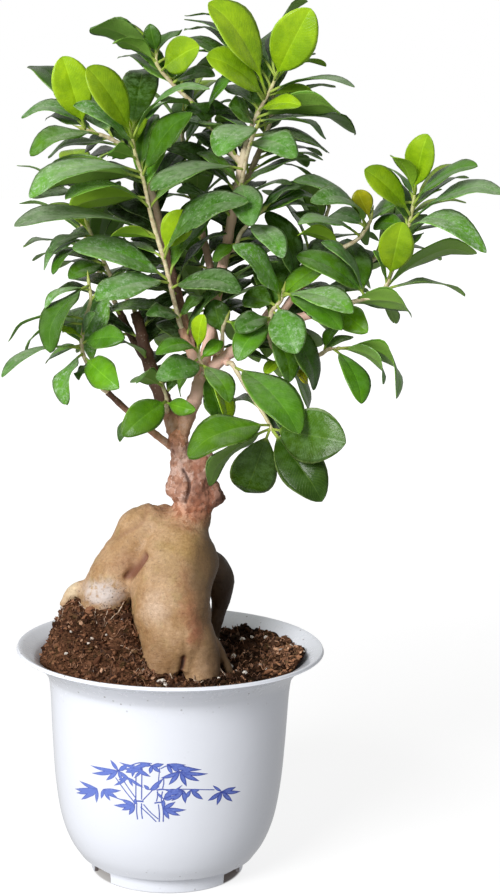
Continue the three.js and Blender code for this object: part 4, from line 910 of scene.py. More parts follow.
CREASES = [
    # half width, depth, then places along it
    # the armpit of the left leg
    (1.9, 3.6, (-14, -16, 172), (-16.5, -17, 168), (-19.8, -18, 163.5), (-22.6, -18, 159)),
    # the fold over the left shoulder
    (1.8, 1.2, (-33, -8, 177), (-24, -12, 181.5), (-15.5, -13, 187), (-13.4, -10, 192)),
    # the healed crack in the graft and two thin ones beside it
    (1.3, 2.4, (4.6, -8, 215), (8, -8, 209.6), (8.4, -8, 204.7), (6.4, -8, 198)),
    (0.7, 1.3, (9, -8, 221), (11, -8, 213), (14, -8, 208)),
    (0.8, 1.2, (-2, -8, 205), (2, -8, 199), (4, -8, 192)),
    # the slit between the two feet
    (1.5, 3.4, (8.2, -38, 123), (7.6, -40, 119), (6, -40, 112)),
]


# %% Carving
def carved(mesh):
    """Moves each point along its normal and keeps how deep in a crease it lies."""
    count = len(mesh.vertices)
    at, out = np.empty(count * 3), np.empty(count * 3)
    mesh.vertices.foreach_get("co", at)
    mesh.vertex_normals.foreach_get("vector", out)
    at, out = at.reshape(-1, 3) / MM, out.reshape(-1, 3)
    lift, crease = np.zeros(count), np.zeros(count)
    for i, (x, y, z) in enumerate(at):
        knots = noise.noise((x / 11, y / 11, z / 9))
        wrinkle = noise.noise((x / 9, y / 9, z / 1.9 + 2 * noise.noise((x / 12, y / 12, z / 12))))
        fine = noise.noise((x / 3.2, y / 3.2, z / 2.2))
        graft = ramp(z, 186, 196)
        lift[i] = (0.9 + 0.9 * graft) * knots + (0.1 + 0.35 * graft) * wrinkle + (0.16 + 0.45 * graft) * fine
        if graft > 0:
            near_plate, next_plate = noise.voronoi((x / 4.5, y / 4.5, z / 9))[0][:2]
            lift[i] += graft * 0.6 * (ramp(next_plate - near_plate, 0, 0.15) - 0.8)
    for centre, reach, depth in DENTS:
        lift -= depth * np.exp(-(((at - centre) / reach) ** 2).sum(1))
    for half_width, depth, *line in CREASES:
        gap = np.min([(((at - p) * (1, 0.15, 1)) ** 2).sum(1) for p in through(line, 8)], axis=0)
        crease = np.maximum(crease, min(1, depth / 2.5) * np.exp(-gap / half_width**2))
        lift -= depth * np.exp(-gap / half_width**2)
    mesh.attributes.new("crease", "FLOAT", "POINT").data.foreach_set("value", crease.astype("f"))
    at += out * lift[:, None]
    mesh.vertices.foreach_set("co", (at * MM).ravel())
    mesh.update()
    return lift


lift = carved(root_stem.data)
print("carved between", round(lift.min(), 2), "and", round(lift.max(), 2), "mm")

# %% [markdown]
# ## Colours of the skin
# Warm tan with pale patches where the outer skin has flaked, a green film of algae low down, red skin
# with painted shade in the grooves, red on the graft, and chalky lime on the foot of the left leg. Each is
# a mask: a soft range of height or side, broken up by a noise. First comes the plain skin, from clouds of
# several sizes.
# %% Plain skin
bark = Finish("ginseng_skin", Specular_IOR_Level=0.32)
at = bark.place()
x, y, z = (bark.along(at, axis) for axis in range(3))
clouds = bark.noise(at, 15, 3, twist=0.4)
mottle = bark.noise(at, 4.2, 5, 0.65)
sandy = bark.noise(at, 1.1, 4, 0.7)
lines = bark.noise(at * (0.35, 0.35, 1.7), 2.1, 4, 0.6, 0.5)
drift = bark.node("ShaderNodeTexNoise", None, {"Vector": at, "Scale": 0.2, "Detail": 5.0}, "Color")
ragged = at + (drift - 0.5) * 11.0
tan = bark.mix(clouds.over(0.35, 0.65), (0.58, 0.39, 0.25), (0.44, 0.27, 0.14))
tan = bark.mix(mottle.over(0.46, 0.7) * 0.5, tan, (0.4, 0.215, 0.1))
tan = bark.mix(bark.noise(at, 9, 4, 0.7).over(0.55, 0.7) * 0.4, tan, (0.66, 0.48, 0.36))
algae = bark.noise(at * (1.0, 1.0, 0.7), 8, 3).over(0.52, 0.7) * 0.3
tan = bark.mix(algae, tan, (0.38, 0.31, 0.11))

# %% [markdown]
# ## Stains and shade
# A root that lay half in the soil keeps stains, and each has its place. They are listed with a centre and a
# reach and laid over one another; a few of them are painted shade, and one is a painted sheen. The
# right side stands in the crown's shade and is darker and redder.
# %% Stains
def near(centre, reach):
    """A mask that is 1 at a place and fades to 0 over the reach, with a ragged edge."""
    gap = ((ragged - centre) * tuple(1 / r for r in reach)).length()
    return 1 - gap.over(0.2, 1.25)


STAINS = [
    # centre, reach, colour, strength
    ((2, -28, 172), (24, 22, 20), (0.42, 0.28, 0.15), 0.4),  # duller chest
    ((9, -24, 179), (17, 22, 10), (0.42, 0.26, 0.085), 0.5),  # olive collar under the graft
    ((-6, -38, 166), (13, 14, 10), (0.5, 0.31, 0.22), 0.6),  # rosy left of the chest
    ((1, -34, 168), (17, 18, 10), (0.4, 0.26, 0.125), 0.6),  # brown middle of the chest
    ((-8, -38, 148), (9, 18, 11), (0.66, 0.5, 0.4), 0.85),  # pale belly: a painted sheen
    ((-3, -36, 123), (24, 18, 13), (0.3, 0.17, 0.08), 0.85),  # brown low down near the soil: a soil stain with painted shade
    ((8, -34, 163), (5, 16, 12), (0.36, 0.17, 0.09), 0.7),  # red streak, top
    ((12, -36, 149), (6.5, 16, 12), (0.42, 0.18, 0.1), 0.85),  # red streak, middle
    ((15, -34, 137), (6, 16, 10), (0.38, 0.13, 0.075), 0.9),  # red streak, end
    ((24, -28, 121), (9, 14, 10), (0.27, 0.15, 0.11), 0.6),  # painted shade on the right side of the right foot, with a violet tint
    ((12, -34, 121), (10, 14, 10), (0.31, 0.19, 0.1), 0.75),  # right foot
    ((-24, -10, 187), (9, 16, 5), (0.52, 0.32, 0.15), 0.4),  # warm top of the shoulder
    ((-21, -14, 166), (10, 14, 8), (0.42, 0.22, 0.14), 0.45),  # red inside of the left leg, with painted shade by the groove
    ((-52, 0, 149), (7, 12, 7), (0.78, 0.66, 0.5), 0.75),  # pale thin root at the left
]
skin = tan
for centre, reach, stain, strength in STAINS:
    skin = bark.mix(near(centre, reach) * strength, skin, stain)
skin = skin * (0.94, 0.91, 0.81)
print("stains on the root-stem:", len(STAINS))

# %% Grain, shade and lime
coarse = bark.noise(at, 2.3, 5, 0.75)
skin = bark.mix((coarse - 0.5).over(0, 0.16) * 0.4, skin, skin * 1.35 + (0.03, 0.02, 0.02))
skin = bark.mix((0.5 - coarse).over(0, 0.16) * 0.45, skin, skin * (0.66, 0.58, 0.52))
skin = bark.mix((sandy - 0.5).over(0, 0.2) * 0.35, skin, skin * 1.3)
skin = bark.mix((0.5 - sandy).over(0, 0.2) * 0.4, skin, skin * (0.62, 0.56, 0.5))
side_shade = (x - (z - 164.0).size() * 0.2 + mottle * 6.0 - 3.0).over(4, 14) * 0.82
skin = bark.mix(side_shade * (1 - z.over(176, 190)), skin, (0.135, 0.078, 0.034))
edge_shade = (x + z * 0.12 + mottle * 4.0).over(37, 45) * 0.7
skin = bark.mix(edge_shade, skin, (0.1, 0.06, 0.03))
lime = near((-35, -12, 150.5), (13, 22, 8)) * bark.noise(at, 3, 5, 0.7).over(0.3, 0.52)
skin = bark.mix(lime * 0.85, skin, (0.72, 0.65, 0.62))
crease = bark.stored("crease")
# Painted shade: creases are darkened to a deep red-brown, on skin that is redder there
groove_red_and_shade = (crease + coarse * 0.3 - 0.15).over(0.1, 0.75)
skin = bark.mix(groove_red_and_shade * 0.85, skin, (0.19, 0.07, 0.042))
# Painted shade: the slit between the feet and the crack in the graft are darkened nearly to black
slit_and_crack_shade = (crease * (1 - z.over(121, 125)) + crease * z.over(194, 197)).over(0.35, 0.8)
skin = bark.mix(slit_and_crack_shade * 0.9, skin, (0.03, 0.014, 0.01))
flecks = (1 - bark.cells(ragged, 1.8).over(0.12, 0.36)) * bark.noise(at, 5).over(0.4, 0.55)
skin = bark.mix(flecks * (0.3 + near((-34, -8, 148), (18, 24, 11)) * 0.6), skin, (0.05, 0.03, 0.025))

# %% [markdown]
# ## The graft
# The grafted wood is another plant's: scaly, redder and cracked. Its plates are cells with a dark gap, each
# with a tint drawn for it, and a ragged line of height leads over from the smooth skin.
# %% Bark of the graft
upper = (z - (x - 10.0).size() * 0.45 + mottle * 9.0 + coarse * 9.0).over(189, 201)
plates = bark.cells(ragged * (1.0, 1.0, 0.55), 4.0, "SMOOTH_F1")
plate_spot = {"Vector": ragged * (1.0, 1.0, 0.6), "Scale": 0.25}
plate_luck = bark.node("ShaderNodeTexVoronoi", None, plate_spot, "Color")
graft = bark.mix(mottle.over(0.35, 0.65), (0.56, 0.31, 0.22), (0.36, 0.17, 0.105))
graft = bark.mix(bark.along(plate_luck, 0).over(0.45, 0.75) * 0.75, graft, (0.7, 0.48, 0.4))
graft = bark.mix((x - 9.0 + mottle * 6.0).over(0, 8) * 0.6, graft, (0.3, 0.11, 0.065))
graft = bark.mix(bark.noise(at, 3.1, 5, 0.75).over(0.56, 0.68) * 0.7, graft, (0.76, 0.62, 0.55))
graft = bark.mix(coarse.over(0.35, 0.5) * -0.6 + 0.6, graft, (0.16, 0.065, 0.04))
graft = bark.mix(plates.over(0.5, 0.8) * 0.6, graft, (0.12, 0.045, 0.028))
# Painted shade in the cracks of the graft
graft = bark.mix((crease + coarse - 0.5).over(0.3, 0.85) * 0.85, graft, (0.06, 0.024, 0.016))
stub = near((27, 3, 201), (7, 14, 9))
graft = bark.mix(stub * 0.8, graft, (0.1, 0.045, 0.025))
graft = bark.mix(1 - z.over(192, 204), graft, graft * (0.96, 0.78, 0.62))
skin = bark.mix(upper, skin, graft)
# Painted light: the top of the neck above the graft is made lighter
skin = bark.mix(z.over(222, 238), skin, skin * (1.85, 1.55, 1.25))

# %% Painted shade on the back root, wrinkles and finish
# Painted shade: the root at the right behind is darkened nearly to black
shaded = near((29, 22, 140), (14, 23, 58)) * 0.94
skin = bark.mix(shaded, skin, (0.037, 0.021, 0.012))
wrinkles = lines.over(0.3, 0.7)
creased = 0.03 + near((-2, -40, 155), (12, 18, 12)) * 0.25 + mottle.over(0.55, 0.7) * 0.06
skin = bark.mix((1 - wrinkles) * creased, skin, skin * (0.45, 0.36, 0.3))
scales = (1 - plates) * upper
stem_finish = bark.feed(
    Base_Color=skin,
    Roughness=0.4 + mottle * 0.25 + upper * 0.2,
    Normal=bark.bumps((0.07, wrinkles), (0.3, mottle), (0.3, coarse), (0.16, sandy), (0.6, scales)),
)
root_stem.data.materials.clear()
root_stem.data.materials.append(stem_finish)
root_stem.data.shade_smooth()
finished(root_stem, "bark", "trunk")

# %% [markdown]
# ## Rootlets
# Thin pale roots come out of the foot of each leg and creep over the soil before they dive in.
# %% Rootlets
ROOTLETS = [
    # x, y, z, heading in degrees, length, radius
    (-13.5, -27, 123, 250, 15, 0.42), (-12.5, -30, 119, 225, 11, 0.35), (-10, -34, 116, 200, 12, 0.3),
    (-12, -24, 128, 215, 13, 0.3), (2, -38, 115, 290, 8, 0.35), (13, -37, 114, 250, 8, 0.3),
    (26, -25, 117, 320, 12, 0.4), (-25, -14, 146, 235, 12, 0.34), (-31, -13, 143.5, 250, 10, 0.3),
    (-38, -11, 143, 240, 11, 0.3), (-44, -4, 145, 215, 12, 0.34), (-52, 0, 143, 235, 11, 0.4),
    (-55, 2, 142, 200, 10, 0.34), (-48, -3, 144, 265, 9, 0.3),
]
rootlets = Skin()
for x, y, z, heading, reach, radius in ROOTLETS:
    turn = math.radians(heading)
    rows = [(x - 2 * math.cos(turn), y - 2 * math.sin(turn), z + 0.6, radius)]
    for k in range(1, 8):
        turn += draws.normal(0, 0.33)
        x, y = x + reach / 7 * math.cos(turn), y + reach / 7 * math.sin(turn)
        z = 0.45 * z + 0.55 * (heap(x, y) + 0.9 * math.sin(k * 1.9 + heading) - (3 if k == 7 else 0))
        rows.append((x, y, z, radius * (1 - 0.09 * k)))
    rootlets.add(*tube(through(rows, 4), 7), shade=draws.uniform())

pale_root = Finish("rootlets", Roughness=0.6)
at = pale_root.place()
blotches = pale_root.noise(at, 1.5, 4).over(0.35, 0.7)
rootlet_finish = pale_root.feed(
    Base_Color=pale_root.mix(blotches, (0.66, 0.54, 0.42), (0.3, 0.17, 0.1)),
    Normal=pale_root.bumps((0.1, pale_root.noise(at, 0.5, 3))),
)
rootlets.piece("rootlets", rootlet_finish, "bark")

# %% [markdown]
# ## Bare branches
# Thin woody branches run from the graft to each leafy shoot. They are tubes hung on a smooth curve, with
# a swelling every so often where a leaf once stood.
# %% Branches
# x, y, z and radius of places along each branch. A branch has the name of the shoot that it carries.
LIMBS = {
  "left_side": [[2, 3, 231, 4.8], [-3, 5, 243, 4.2], [-8, 8, 253, 3.9], [-13, 11, 265, 3.6],
    [-17, 14, 277, 3.2], [-19, 16, 285, 2.9], [-22, 17.5, 293, 2.5]],
  "neck": [[2.5, 3, 232, 4.8], [8, 3, 245, 4], [11.5, 2.5, 254, 3.7], [13.5, 2.5, 263, 3.6]],
  "left_top": [[13.5, 2.5, 261, 3.2], [10, 2.5, 270, 2.7], [6, 2.5, 279, 2.3], [3, 2.2, 287, 2]],
  "left_up": [[9, 3, 272, 2.4], [2, 11, 298, 2.2], [-7, 14, 330, 2], [-14, 11, 356, 1.8],
    [-20, 7.6, 371, 1.6]],
  "top": [[13.5, 2.5, 261, 3.2], [16, 5, 277, 2.9], [19, 8, 295, 2.8], [22, 10, 313, 2.7], [25, 10, 329, 2.5],
    [28, 9.4, 347, 2.4], [31, 8, 365, 2.2], [33.2, 6.6, 378, 1.9]],
  "right_end": [[13, 2.5, 260, 3.2], [20, 2, 268, 2.9], [32, 3, 278, 2.6], [45, 4, 287, 2.4],
    [60, 4, 293, 2.2], [74, 2.4, 296, 1.9]],
  "left_low": [[0, 2, 225, 2.2], [-8, 0, 231, 1.9], [-20, -2.5, 241, 1.7], [-34, -4.6, 254, 1.5]],
  "low_left": [[-3, 5, 243, 2], [-3.4, 1, 243, 1.6], [-3.6, -1.2, 244.4, 1.5]],
  "low_mid": [[13.5, 1, 262, 2], [14.6, -2.6, 264.4, 1.6]],
  "mid": [[16, 5, 274, 2], [19.6, 4.4, 274.6, 1.6]],
  "fork_low": [[24, 2, 271, 2], [27, -1.6, 270.2, 1.6]],
  "right_front": [[42, 3.6, 285, 2], [45.4, -1.6, 289, 1.6]],
  "bud_low": [[47, 4, 288, 1.9], [48.4, 1.8, 282.6, 1.4]],
  "right_low": [[57, 4, 292, 2], [64, 4, 284, 1.7], [70.4, 4, 277.4, 1.5]],
  "right_up": [[50, 4, 289, 2.1], [58, 5, 302, 1.9], [66, 4.6, 313, 1.7], [70.6, 4.2, 318.6, 1.5]],
  "mid_up": [[25, 10, 327, 2], [27.4, 6, 327.6, 1.6]],
  "crown_front": [[29, 9, 351, 1.9], [30.4, 3.4, 355, 1.6]],
  "crown_left": [[32, 7.6, 371, 1.8], [26, 8.6, 376.4, 1.5]],
  "back_left": [[-14, 12, 267, 2.4], [-24, 25, 280, 2.1], [-33, 36, 295, 1.8]],
  "back_mid": [[20, 9, 303, 2.3], [16, 22, 319, 2], [11, 34, 336, 1.7]],
  "back_right": [[34, 3, 279, 2.3], [45, 21, 291, 2], [56, 36, 306, 1.7]],
  "back_low": [[20, 2, 268, 2.2], [21, 20, 273, 1.9], [19, 34, 282, 1.6]],
  "back_top": [[29.6, 8.6, 355, 1.9], [36, 20, 366, 1.7], [41, 28, 378, 1.5]],
  "back_end": [[66, 3.4, 295, 2], [80, 15, 303, 1.7], [90, 23, 313, 1.5]],
}


# %% Swellings
def bumpy(rows, every, swell, seed):
    """Rows of a tube with small swellings along it, and a radius that wanders."""
    rows = np.array(rows, float)
    walked = np.r_[0, np.cumsum(np.linalg.norm(np.diff(rows[:, :3], axis=0), axis=1))]
    ring = np.exp(-((((walked + seed) % every) - every / 2) / 0.9) ** 2)
    wander = np.array([noise.noise((w / 4, seed, 2)) for w in walked])
    rows[:, 3] *= 1 + swell * ring + 0.12 * wander
    return rows


twigs = Skin()
for i, rows in enumerate(LIMBS.values()):
    curve = bumpy(through(rows, 10), 8.5, 0.14, 1.7 * i)
    twigs.add(*tube(curve, 14, (0.2, 1, 0.15)))
print("branches:", len(LIMBS))

# %% [markdown]
# ## Bark of the branches
# Pinkish brown and streaked, pale green-tan on young wood, and painted dark where a branch stands in the
# shade of the crown. The left fork gets painted shade and is the darkest; the fork at the right is pale pink
# bark with painted light, the lightest.
# %% Twig finish
wood = Finish("twig_bark", Specular_IOR_Level=0.35)
at = wood.place()
streaks = wood.noise(at * (1.0, 1.0, 0.45), 2.2, 5, 0.65)
ringed = wood.noise(at * (0.4, 0.4, 1.8), 1.6, 3)
young = wood.along(at, 2).over(300, 380)
brown = wood.mix(streaks.over(0.3, 0.7), (0.72, 0.43, 0.28), (0.4, 0.19, 0.11))
brown = wood.mix(wood.noise(at, 6, 4, 0.7).over(0.5, 0.68) * 0.6, brown, (0.72, 0.52, 0.42))
brown = wood.mix(young * 0.8, brown, (0.88, 0.78, 0.54))
x, z = wood.along(at, 0), wood.along(at, 2)
hidden = wood.along(at, 1).over(4, 18)
brown = wood.mix(hidden * 0.6, brown, brown * (0.4, 0.34, 0.3))
# Painted light on the pale pink bark of the right fork
right_fork_painted_light = (x - z * 0.1).over(-23, -17) * z.over(236, 254) * (1 - young)
brown = wood.mix(right_fork_painted_light * 0.9, brown, (0.98, 0.64, 0.53))
# Painted shade on the left fork, nearly black
left_fork_painted_shade = (1 - (x - z * 0.05).over(-15, -8)) * z.over(238, 250) * (1 - young)
brown = wood.mix(left_fork_painted_shade * 0.9, brown, (0.07, 0.03, 0.018))
pale = (1 - wood.cells(at, 1.7).over(0.1, 0.26)) * 0.25
wood_finish = wood.feed(
    Base_Color=wood.mix(pale, brown, (0.7, 0.6, 0.48)),
    Roughness=0.6 + streaks * 0.2,
    Normal=wood.bumps((0.25, streaks), (0.2, ringed), (0.15, pale)),
)
twigs.piece("twigs", wood_finish, "bark", "trunk")

# %% [markdown]
# ## Where the leaves stand
# The leaves that make the plant's outline are set one by one: a place along the stem, a tip, a width, how
# squarely the upper side faces the viewer, a bow and an age. The rest grow by the golden angle, the turn
# that most plants use. A leaf that would touch another steps back, or turns on. A rule with a seeded draw
# was chosen over scattering because the solids hold the same leaves in the same places.
# %% The shoots
BUD, YOUNG, FRESH, OLD, DUSTY = range(5)
# stem: places along it. grown: how many leaves the rule adds. set: the leaves that are set one by one, each
# with its share along the stem, the x, y and z of its tip, its width, face, bow and age
SHOOTS = {
  "top": {
    "stem": [[37, 5, 391], [41, 3, 399], [46, 0, 409], [49, -1, 417]],
    "grown": 5,
    "set": [
      [0.66, 16, -18, 449, 26, 0.8, 0.1, YOUNG],
      [0.63, 15, -29, 423, 21, 0.8, 0.1, YOUNG],
      [0.88, 63, -30, 445, 23, 1, 0.08, YOUNG],
      [0.82, 73, 15, 421, 15, 0.2, 0.18, YOUNG],
      [0.72, 86, -21, 411, 21, 0.3, 0.1, DUSTY],
      [0.38, 80, -22, 400, 22, -0.4, 0.08, FRESH],
      [0.68, 69, -20, 404, 15, -0.3, 0.12, YOUNG],
      [0.92, 62, 21, 453, 21, 0.3, 0.18, DUSTY],
      [0.76, 47, 26, 441, 19, 0.7, 0.08, OLD],
      [0.79, 2, 16, 443, 27, 0.3, 0.12, DUSTY],
      [0.92, 5, -1, 448, 25, 0.2, 0.1, FRESH],
      [0.48, 59, -10, 401, 10, 0.9, 0.08, YOUNG],
      [0.32, 74, -25, 388, 21, 0.3, 0.1, DUSTY],
      [0.21, 90, 28, 391, 27, 0.2, 0.1, OLD],
      [0.14, 77, 28, 379, 22, 0.5, 0.08, OLD],
      [0.48, 21, 28, 411, 16, 0.7, 0.08, OLD],
    ],
  },
  "crown_front": {
    "stem": [[34, -8, 373], [37, -16, 384], [39, -20, 389]],
    "grown": 3,
    "set": [
      [0.97, 21, -58, 377, 20, 0.8, 0.12, DUSTY],
      [0.73, 56, -49, 379, 18, 0.8, 0.1, DUSTY],
      [0.38, -12, -32, 359, 25, 0.4, 0.1, DUSTY],
      [0.14, 69, 24, 374, 21, 0.3, 0.08, OLD],
      [0.19, 37, -32, 343, 17, 1, 0.12, DUSTY],
      [0.83, 19, 7, 393, 14, 0.4, 0.1, FRESH],
      [0.14, 10, 21, 377, 16, 0.5, 0.08, OLD],
    ],
  },
  "crown_left": {
    "stem": [[11, 8, 396], [-2, 4, 408], [-11, 1, 418], [-12, 0, 426]],
    "grown": 5,
    "set": [
      [0.94, -43, -20, 436, 18, -0.6, 0.12, DUSTY],
      [0.9, -32, -16, 430, 13, -0.4, 0.1, FRESH],
      [0.97, -15, -14, 438, 9, 1, 0.08, FRESH],
      [0.98, -1, 18, 437, 11, 0.7, 0.08, FRESH],
      [0.83, 9, -28, 427, 18, 1, 0.06, YOUNG],
      [0.76, 8, 28, 408, 14, 1, 0.06, OLD],
      [0.42, -15, -18, 393, 16, 0.2, 0.16, DUSTY],
      [0.63, 18, 30, 424, 17, 0.4, 0.08, OLD],
      [0.17, -11, 34, 404, 19, 0.3, 0.1, OLD],
    ],
  },
  "left_top": {
    "stem": [[-3, -2, 309], [-6, -3, 321], [-13, -6, 344], [-17, -8, 362], [-21, -9, 374], [-23, -9, 384]],
    "grown": 8,
    "set": [
      [0.98, -43, -29, 416, 20, 0.8, 0.08, YOUNG],
      [0.99, -19, 9, 421, 19, 1, 0.06, OLD],
      [0.93, -49, -30, 399, 18, 0.5, 0.1, DUSTY],
      [0.88, -33, -29, 376, 11, -0.6, 0.08, FRESH],
      [0.81, -70, -42, 357, 29, 0.5, 0.12, DUSTY],
      [0.78, -71, 7, 360, 26, -0.5, 0.1, FRESH],
      [0.63, -53, -34, 355, 22, 0.3, 0.16, FRESH],
      [0.68, -55, 10, 347, 20, -0.5, 0.08, YOUNG],
      [0.48, -78, -33, 341, 34, 0.2, 0.1, DUSTY],
      [0.79, 5, -25, 396, 19, 0.8, 0.08, FRESH],
      [0.47, -32, -19, 335, 12, -0.5, 0.08, YOUNG],
      [0.36, 32, -25, 356, 25, 0.6, 0.14, DUSTY],
      [0.39, 4, -26, 347, 16, 1, 0.06, YOUNG],
      [0.63, 14, 17, 366, 18, 0.4, 0.1, OLD],
      [0.21, 32, -29, 311, 20, 0.7, 0.12, DUSTY],
      [0.25, -51, -33, 329, 27, 0.6, 0.1, DUSTY],
      [0.24, -38, -33, 304, 21, 0.7, 0.1, DUSTY],
      [0.09, -39, 26, 294, 21, 0.4, 0.08, OLD],
      [0.05, 13, 24, 304, 13, 0.6, 0.08, OLD],
      [0.05, -12, -20, 297, 11, 0.6, 0.1, DUSTY],
    ],
  },
  "left_side": {
    "stem": [[-32, 17, 307], [-38, 15, 319], [-43, 13, 330], [-47, 12, 339]],
    "grown": 5,
    "set": [
      [0.85, -65, -1, 326, 12, 0.4, 0.12, DUSTY],
      [0.78, -68, -6, 316, 16, 0.4, 0.22, DUSTY],
      [0.69, -63, -4, 315, 14, 0.3, 0.2, FRESH],
      [0.83, -56, 31, 334, 10, 0.8, 0.08, OLD],
      [0.55, -54, -4, 313, 12, 0.8, 0.08, OLD],
      [0.94, -44, 33, 352, 12, 0.4, 0.08, FRESH],
      [0.41, -64, 44, 316, 18, 0.4, 0.1, OLD],
      [0.2, -28, 49, 329, 19, 0.5, 0.1, OLD],
    ],
  },
  "left_low": {
    "stem": [[-43, -7, 267], [-47, -8, 276], [-46, -8, 289], [-43, -6, 301], [-44, -5, 309]],
    "grown": 4,
    "set": [
      [0.99, -63, -35, 281, 20, 0.6, 0.12, FRESH],
      [0.95, -65, -20, 300, 12, 0.4, 0.14, DUSTY],
      [0.69, -85, -8, 283, 19, 0.2, 0.14, FRESH],
      [0.65, -79, 2, 273, 17, 0.2, 0.16, DUSTY],
      [0.44, -85, -30, 265, 21, 0.2, 0.14, DUSTY],
      [0.4, -55, -32, 253, 16, 0.6, 0.12, DUSTY],
      [0.47, -67, 4, 268, 12, 0.5, 0.08, OLD],
      [0.49, -25, -29, 285, 14, 0.9, 0.08, FRESH],
      [0.35, -27, -34, 261, 16, 1, 0.1, FRESH],
      [0.3, -48, -19, 263, 7, 0.6, 0.08, DUSTY],
      [0.56, -40, -20, 296, 8, 0.7, 0.1, DUSTY],
      [0.86, -13, 18, 290, 18, 0.7, 0.08, OLD],
      [0.94, -34, 19, 315, 13, 0.6, 0.08, OLD],
      [0.53, -60, -19, 288, 8, 0.5, 0.08, YOUNG],
    ],
  },
  "low_left": {
    "stem": [[-4, -5, 252], [-6, -6, 258]],
    "grown": 2,
    "set": [
      [1, -19, -32, 266, 14, -0.7, 0.08, OLD],
      [0.49, -23, -33, 238, 17, 1, 0.12, FRESH],
      [0.42, 10, -19, 248, 9, 1, 0.08, FRESH],
      [0.42, -28, 3, 234, 14, 0.3, 0.12, DUSTY],
    ],
  },
  "low_mid": {
    "stem": [[13, -7, 271], [12, -9, 276], [12, -9, 279]],
    "grown": 1,
    "set": [
      [0.37, -6, -32, 267, 15, 0.9, 0.12, DUSTY],
      [0.37, 28, -21, 243, 16, 0.5, 0.1, YOUNG],
      [0.89, 14, -20, 296, 10, 0.8, 0.06, YOUNG],
      [0.82, -8, -26, 278, 12, 0.6, 0.2, FRESH],
      [0.4, 29, -28, 256, 14, 0.8, 0.1, OLD],
      [0.58, 24, 4, 282, 8, 0.9, 0.08, FRESH],
      [0.66, 2, -4, 253, 11, 0.5, 0.12, OLD],
    ],
  },
  "mid": {
    "stem": [[24, 0, 287], [26, -4, 293]],
    "grown": 3,
    "set": [
      [0.27, 24, 2, 246, 16, 0.6, 0.12, OLD],
      [0.54, 19, 20, 302, 14, 1, 0.06, OLD],
      [0.74, 6, 18, 300, 13, 0.6, 0.08, OLD],
      [0.27, 32, -6, 271, 7, 0.8, 0.06, YOUNG],
      [0.94, 44, 15, 283, 13, 0.8, 0.08, OLD],
    ],
  },
  "right_front": {
    "stem": [[49, -7, 298], [53, -10, 303], [54, -13, 308]],
    "grown": 3,
    "set": [
      [0.97, 83, -34, 294, 18, 0.8, 0.1, FRESH],
      [0.63, 61, -34, 280, 19, 1, 0.1, DUSTY],
      [0.27, 31, -27, 290, 13, 0.8, 0.1, DUSTY],
      [0.27, 32, -29, 277, 16, 0.9, 0.1, FRESH],
      [0.76, 30, -32, 332, 19, 0.7, 0.1, DUSTY],
      [0.88, 87, -41, 303, 20, 0.5, 0.1, DUSTY],
      [0.27, 40, 21, 312, 15, 0.6, 0.08, FRESH],
      [0.46, 73, -8, 259, 21, 0.7, 0.1, FRESH],
      [0.27, 59, 5, 263, 17, 0.8, 0.08, OLD],
    ],
  },
  "fork_low": {
    "stem": [[36, -12, 260], [45, -20, 248], [50, -24, 240]],
    "grown": 3,
    "set": [
      [0.12, 63, -41, 244, 24, 0.8, 0.1, FRESH],
      [0.95, 10, -53, 234, 23, 0.8, 0.1, FRESH],
      [1, 85, -54, 239, 28, 1, 0.08, OLD],
      [1, 75, -53, 210, 23, 1, 0.1, FRESH],
      [0.97, 37, -9, 203, 24, 1, 0.08, OLD],
      [0.99, 17, -10, 211, 21, -0.4, 0.08, DUSTY],
      [0.75, 57, 0, 263, 13, 0.6, 0.08, OLD],
      [0.73, 28, -5, 249, 10, 0.4, 0.1, OLD],
    ],
  },
  "bud_low": {
    "stem": [[54, -3, 273], [59, -6, 269], [62, -8, 265]],
    "grown": 2,
    "set": [
      [0.76, 68, -13, 261, 8, 0.7, 0.06, BUD],
      [0.5, 46, -13, 267, 7, 0.9, 0.06, YOUNG],
      [0.38, 73, 18, 275, 13, 0.8, 0.08, OLD],
    ],
  },
  "right_end": {
    "stem": [[88, -2, 302], [96, -6, 305], [103, -8, 306], [107, -9, 315], [111, -9, 327], [116, -8, 341],
      [118, -7, 352], [119, -6, 360]],
    "grown": 7,
    "set": [
      [0.29, 61, -27, 327, 22, 0.6, 0.1, OLD],
      [0.27, 75, -19, 335, 18, 0.3, 0.1, DUSTY],
      [0.27, 87, 16, 334, 18, 0.9, 0.06, OLD],
      [0.15, 119, -27, 302, 18, -0.5, 0.12, FRESH],
      [0.1, 95, -24, 291, 14, 1, 0.08, OLD],
      [0.06, 64, 21, 310, 14, 0.6, 0.08, OLD],
      [0.98, 122, -25, 387, 16, 0.9, 0.06, YOUNG],
      [0.97, 106, -21, 377, 13, -0.5, 0.1, YOUNG],
      [0.94, 105, 9, 371, 12, 0.4, 0.1, FRESH],
      [0.85, 93, -21, 370, 17, 0.8, 0.08, YOUNG],
      [0.91, 146, -30, 374, 19, 0.4, 0.1, FRESH],
      [0.88, 146, 11, 368, 18, 0.3, 0.08, OLD],
      [0.81, 157, -38, 364, 25, 0.3, 0.1, DUSTY],
      [0.79, 100, 13, 342, 12, 0.9, 0.08, OLD],
      [0.48, 111, -30, 344, 18, 1, 0.06, YOUNG],
      [0.52, 124, 10, 339, 14, 0.6, 0.08, FRESH],
      [0.6, 151, -39, 334, 23, 0.3, 0.36, DUSTY],
      [0.38, 150, 11, 332, 25, -0.3, 0.12, FRESH],
      [0.45, 99, -20, 330, 9, 0.5, 0.06, OLD],
      [0.93, 96, 18, 332, 18, 0.4, 0.16, OLD],
    ],
  },
  "right_low": {
    "stem": [[78, 0, 278], [83, -3, 279]],
    "grown": 2,
    "set": [
      [0.91, 113, -34, 261, 22, -0.3, 0.26, FRESH],
      [0.91, 107, -22, 266, 16, -0.4, 0.2, DUSTY],
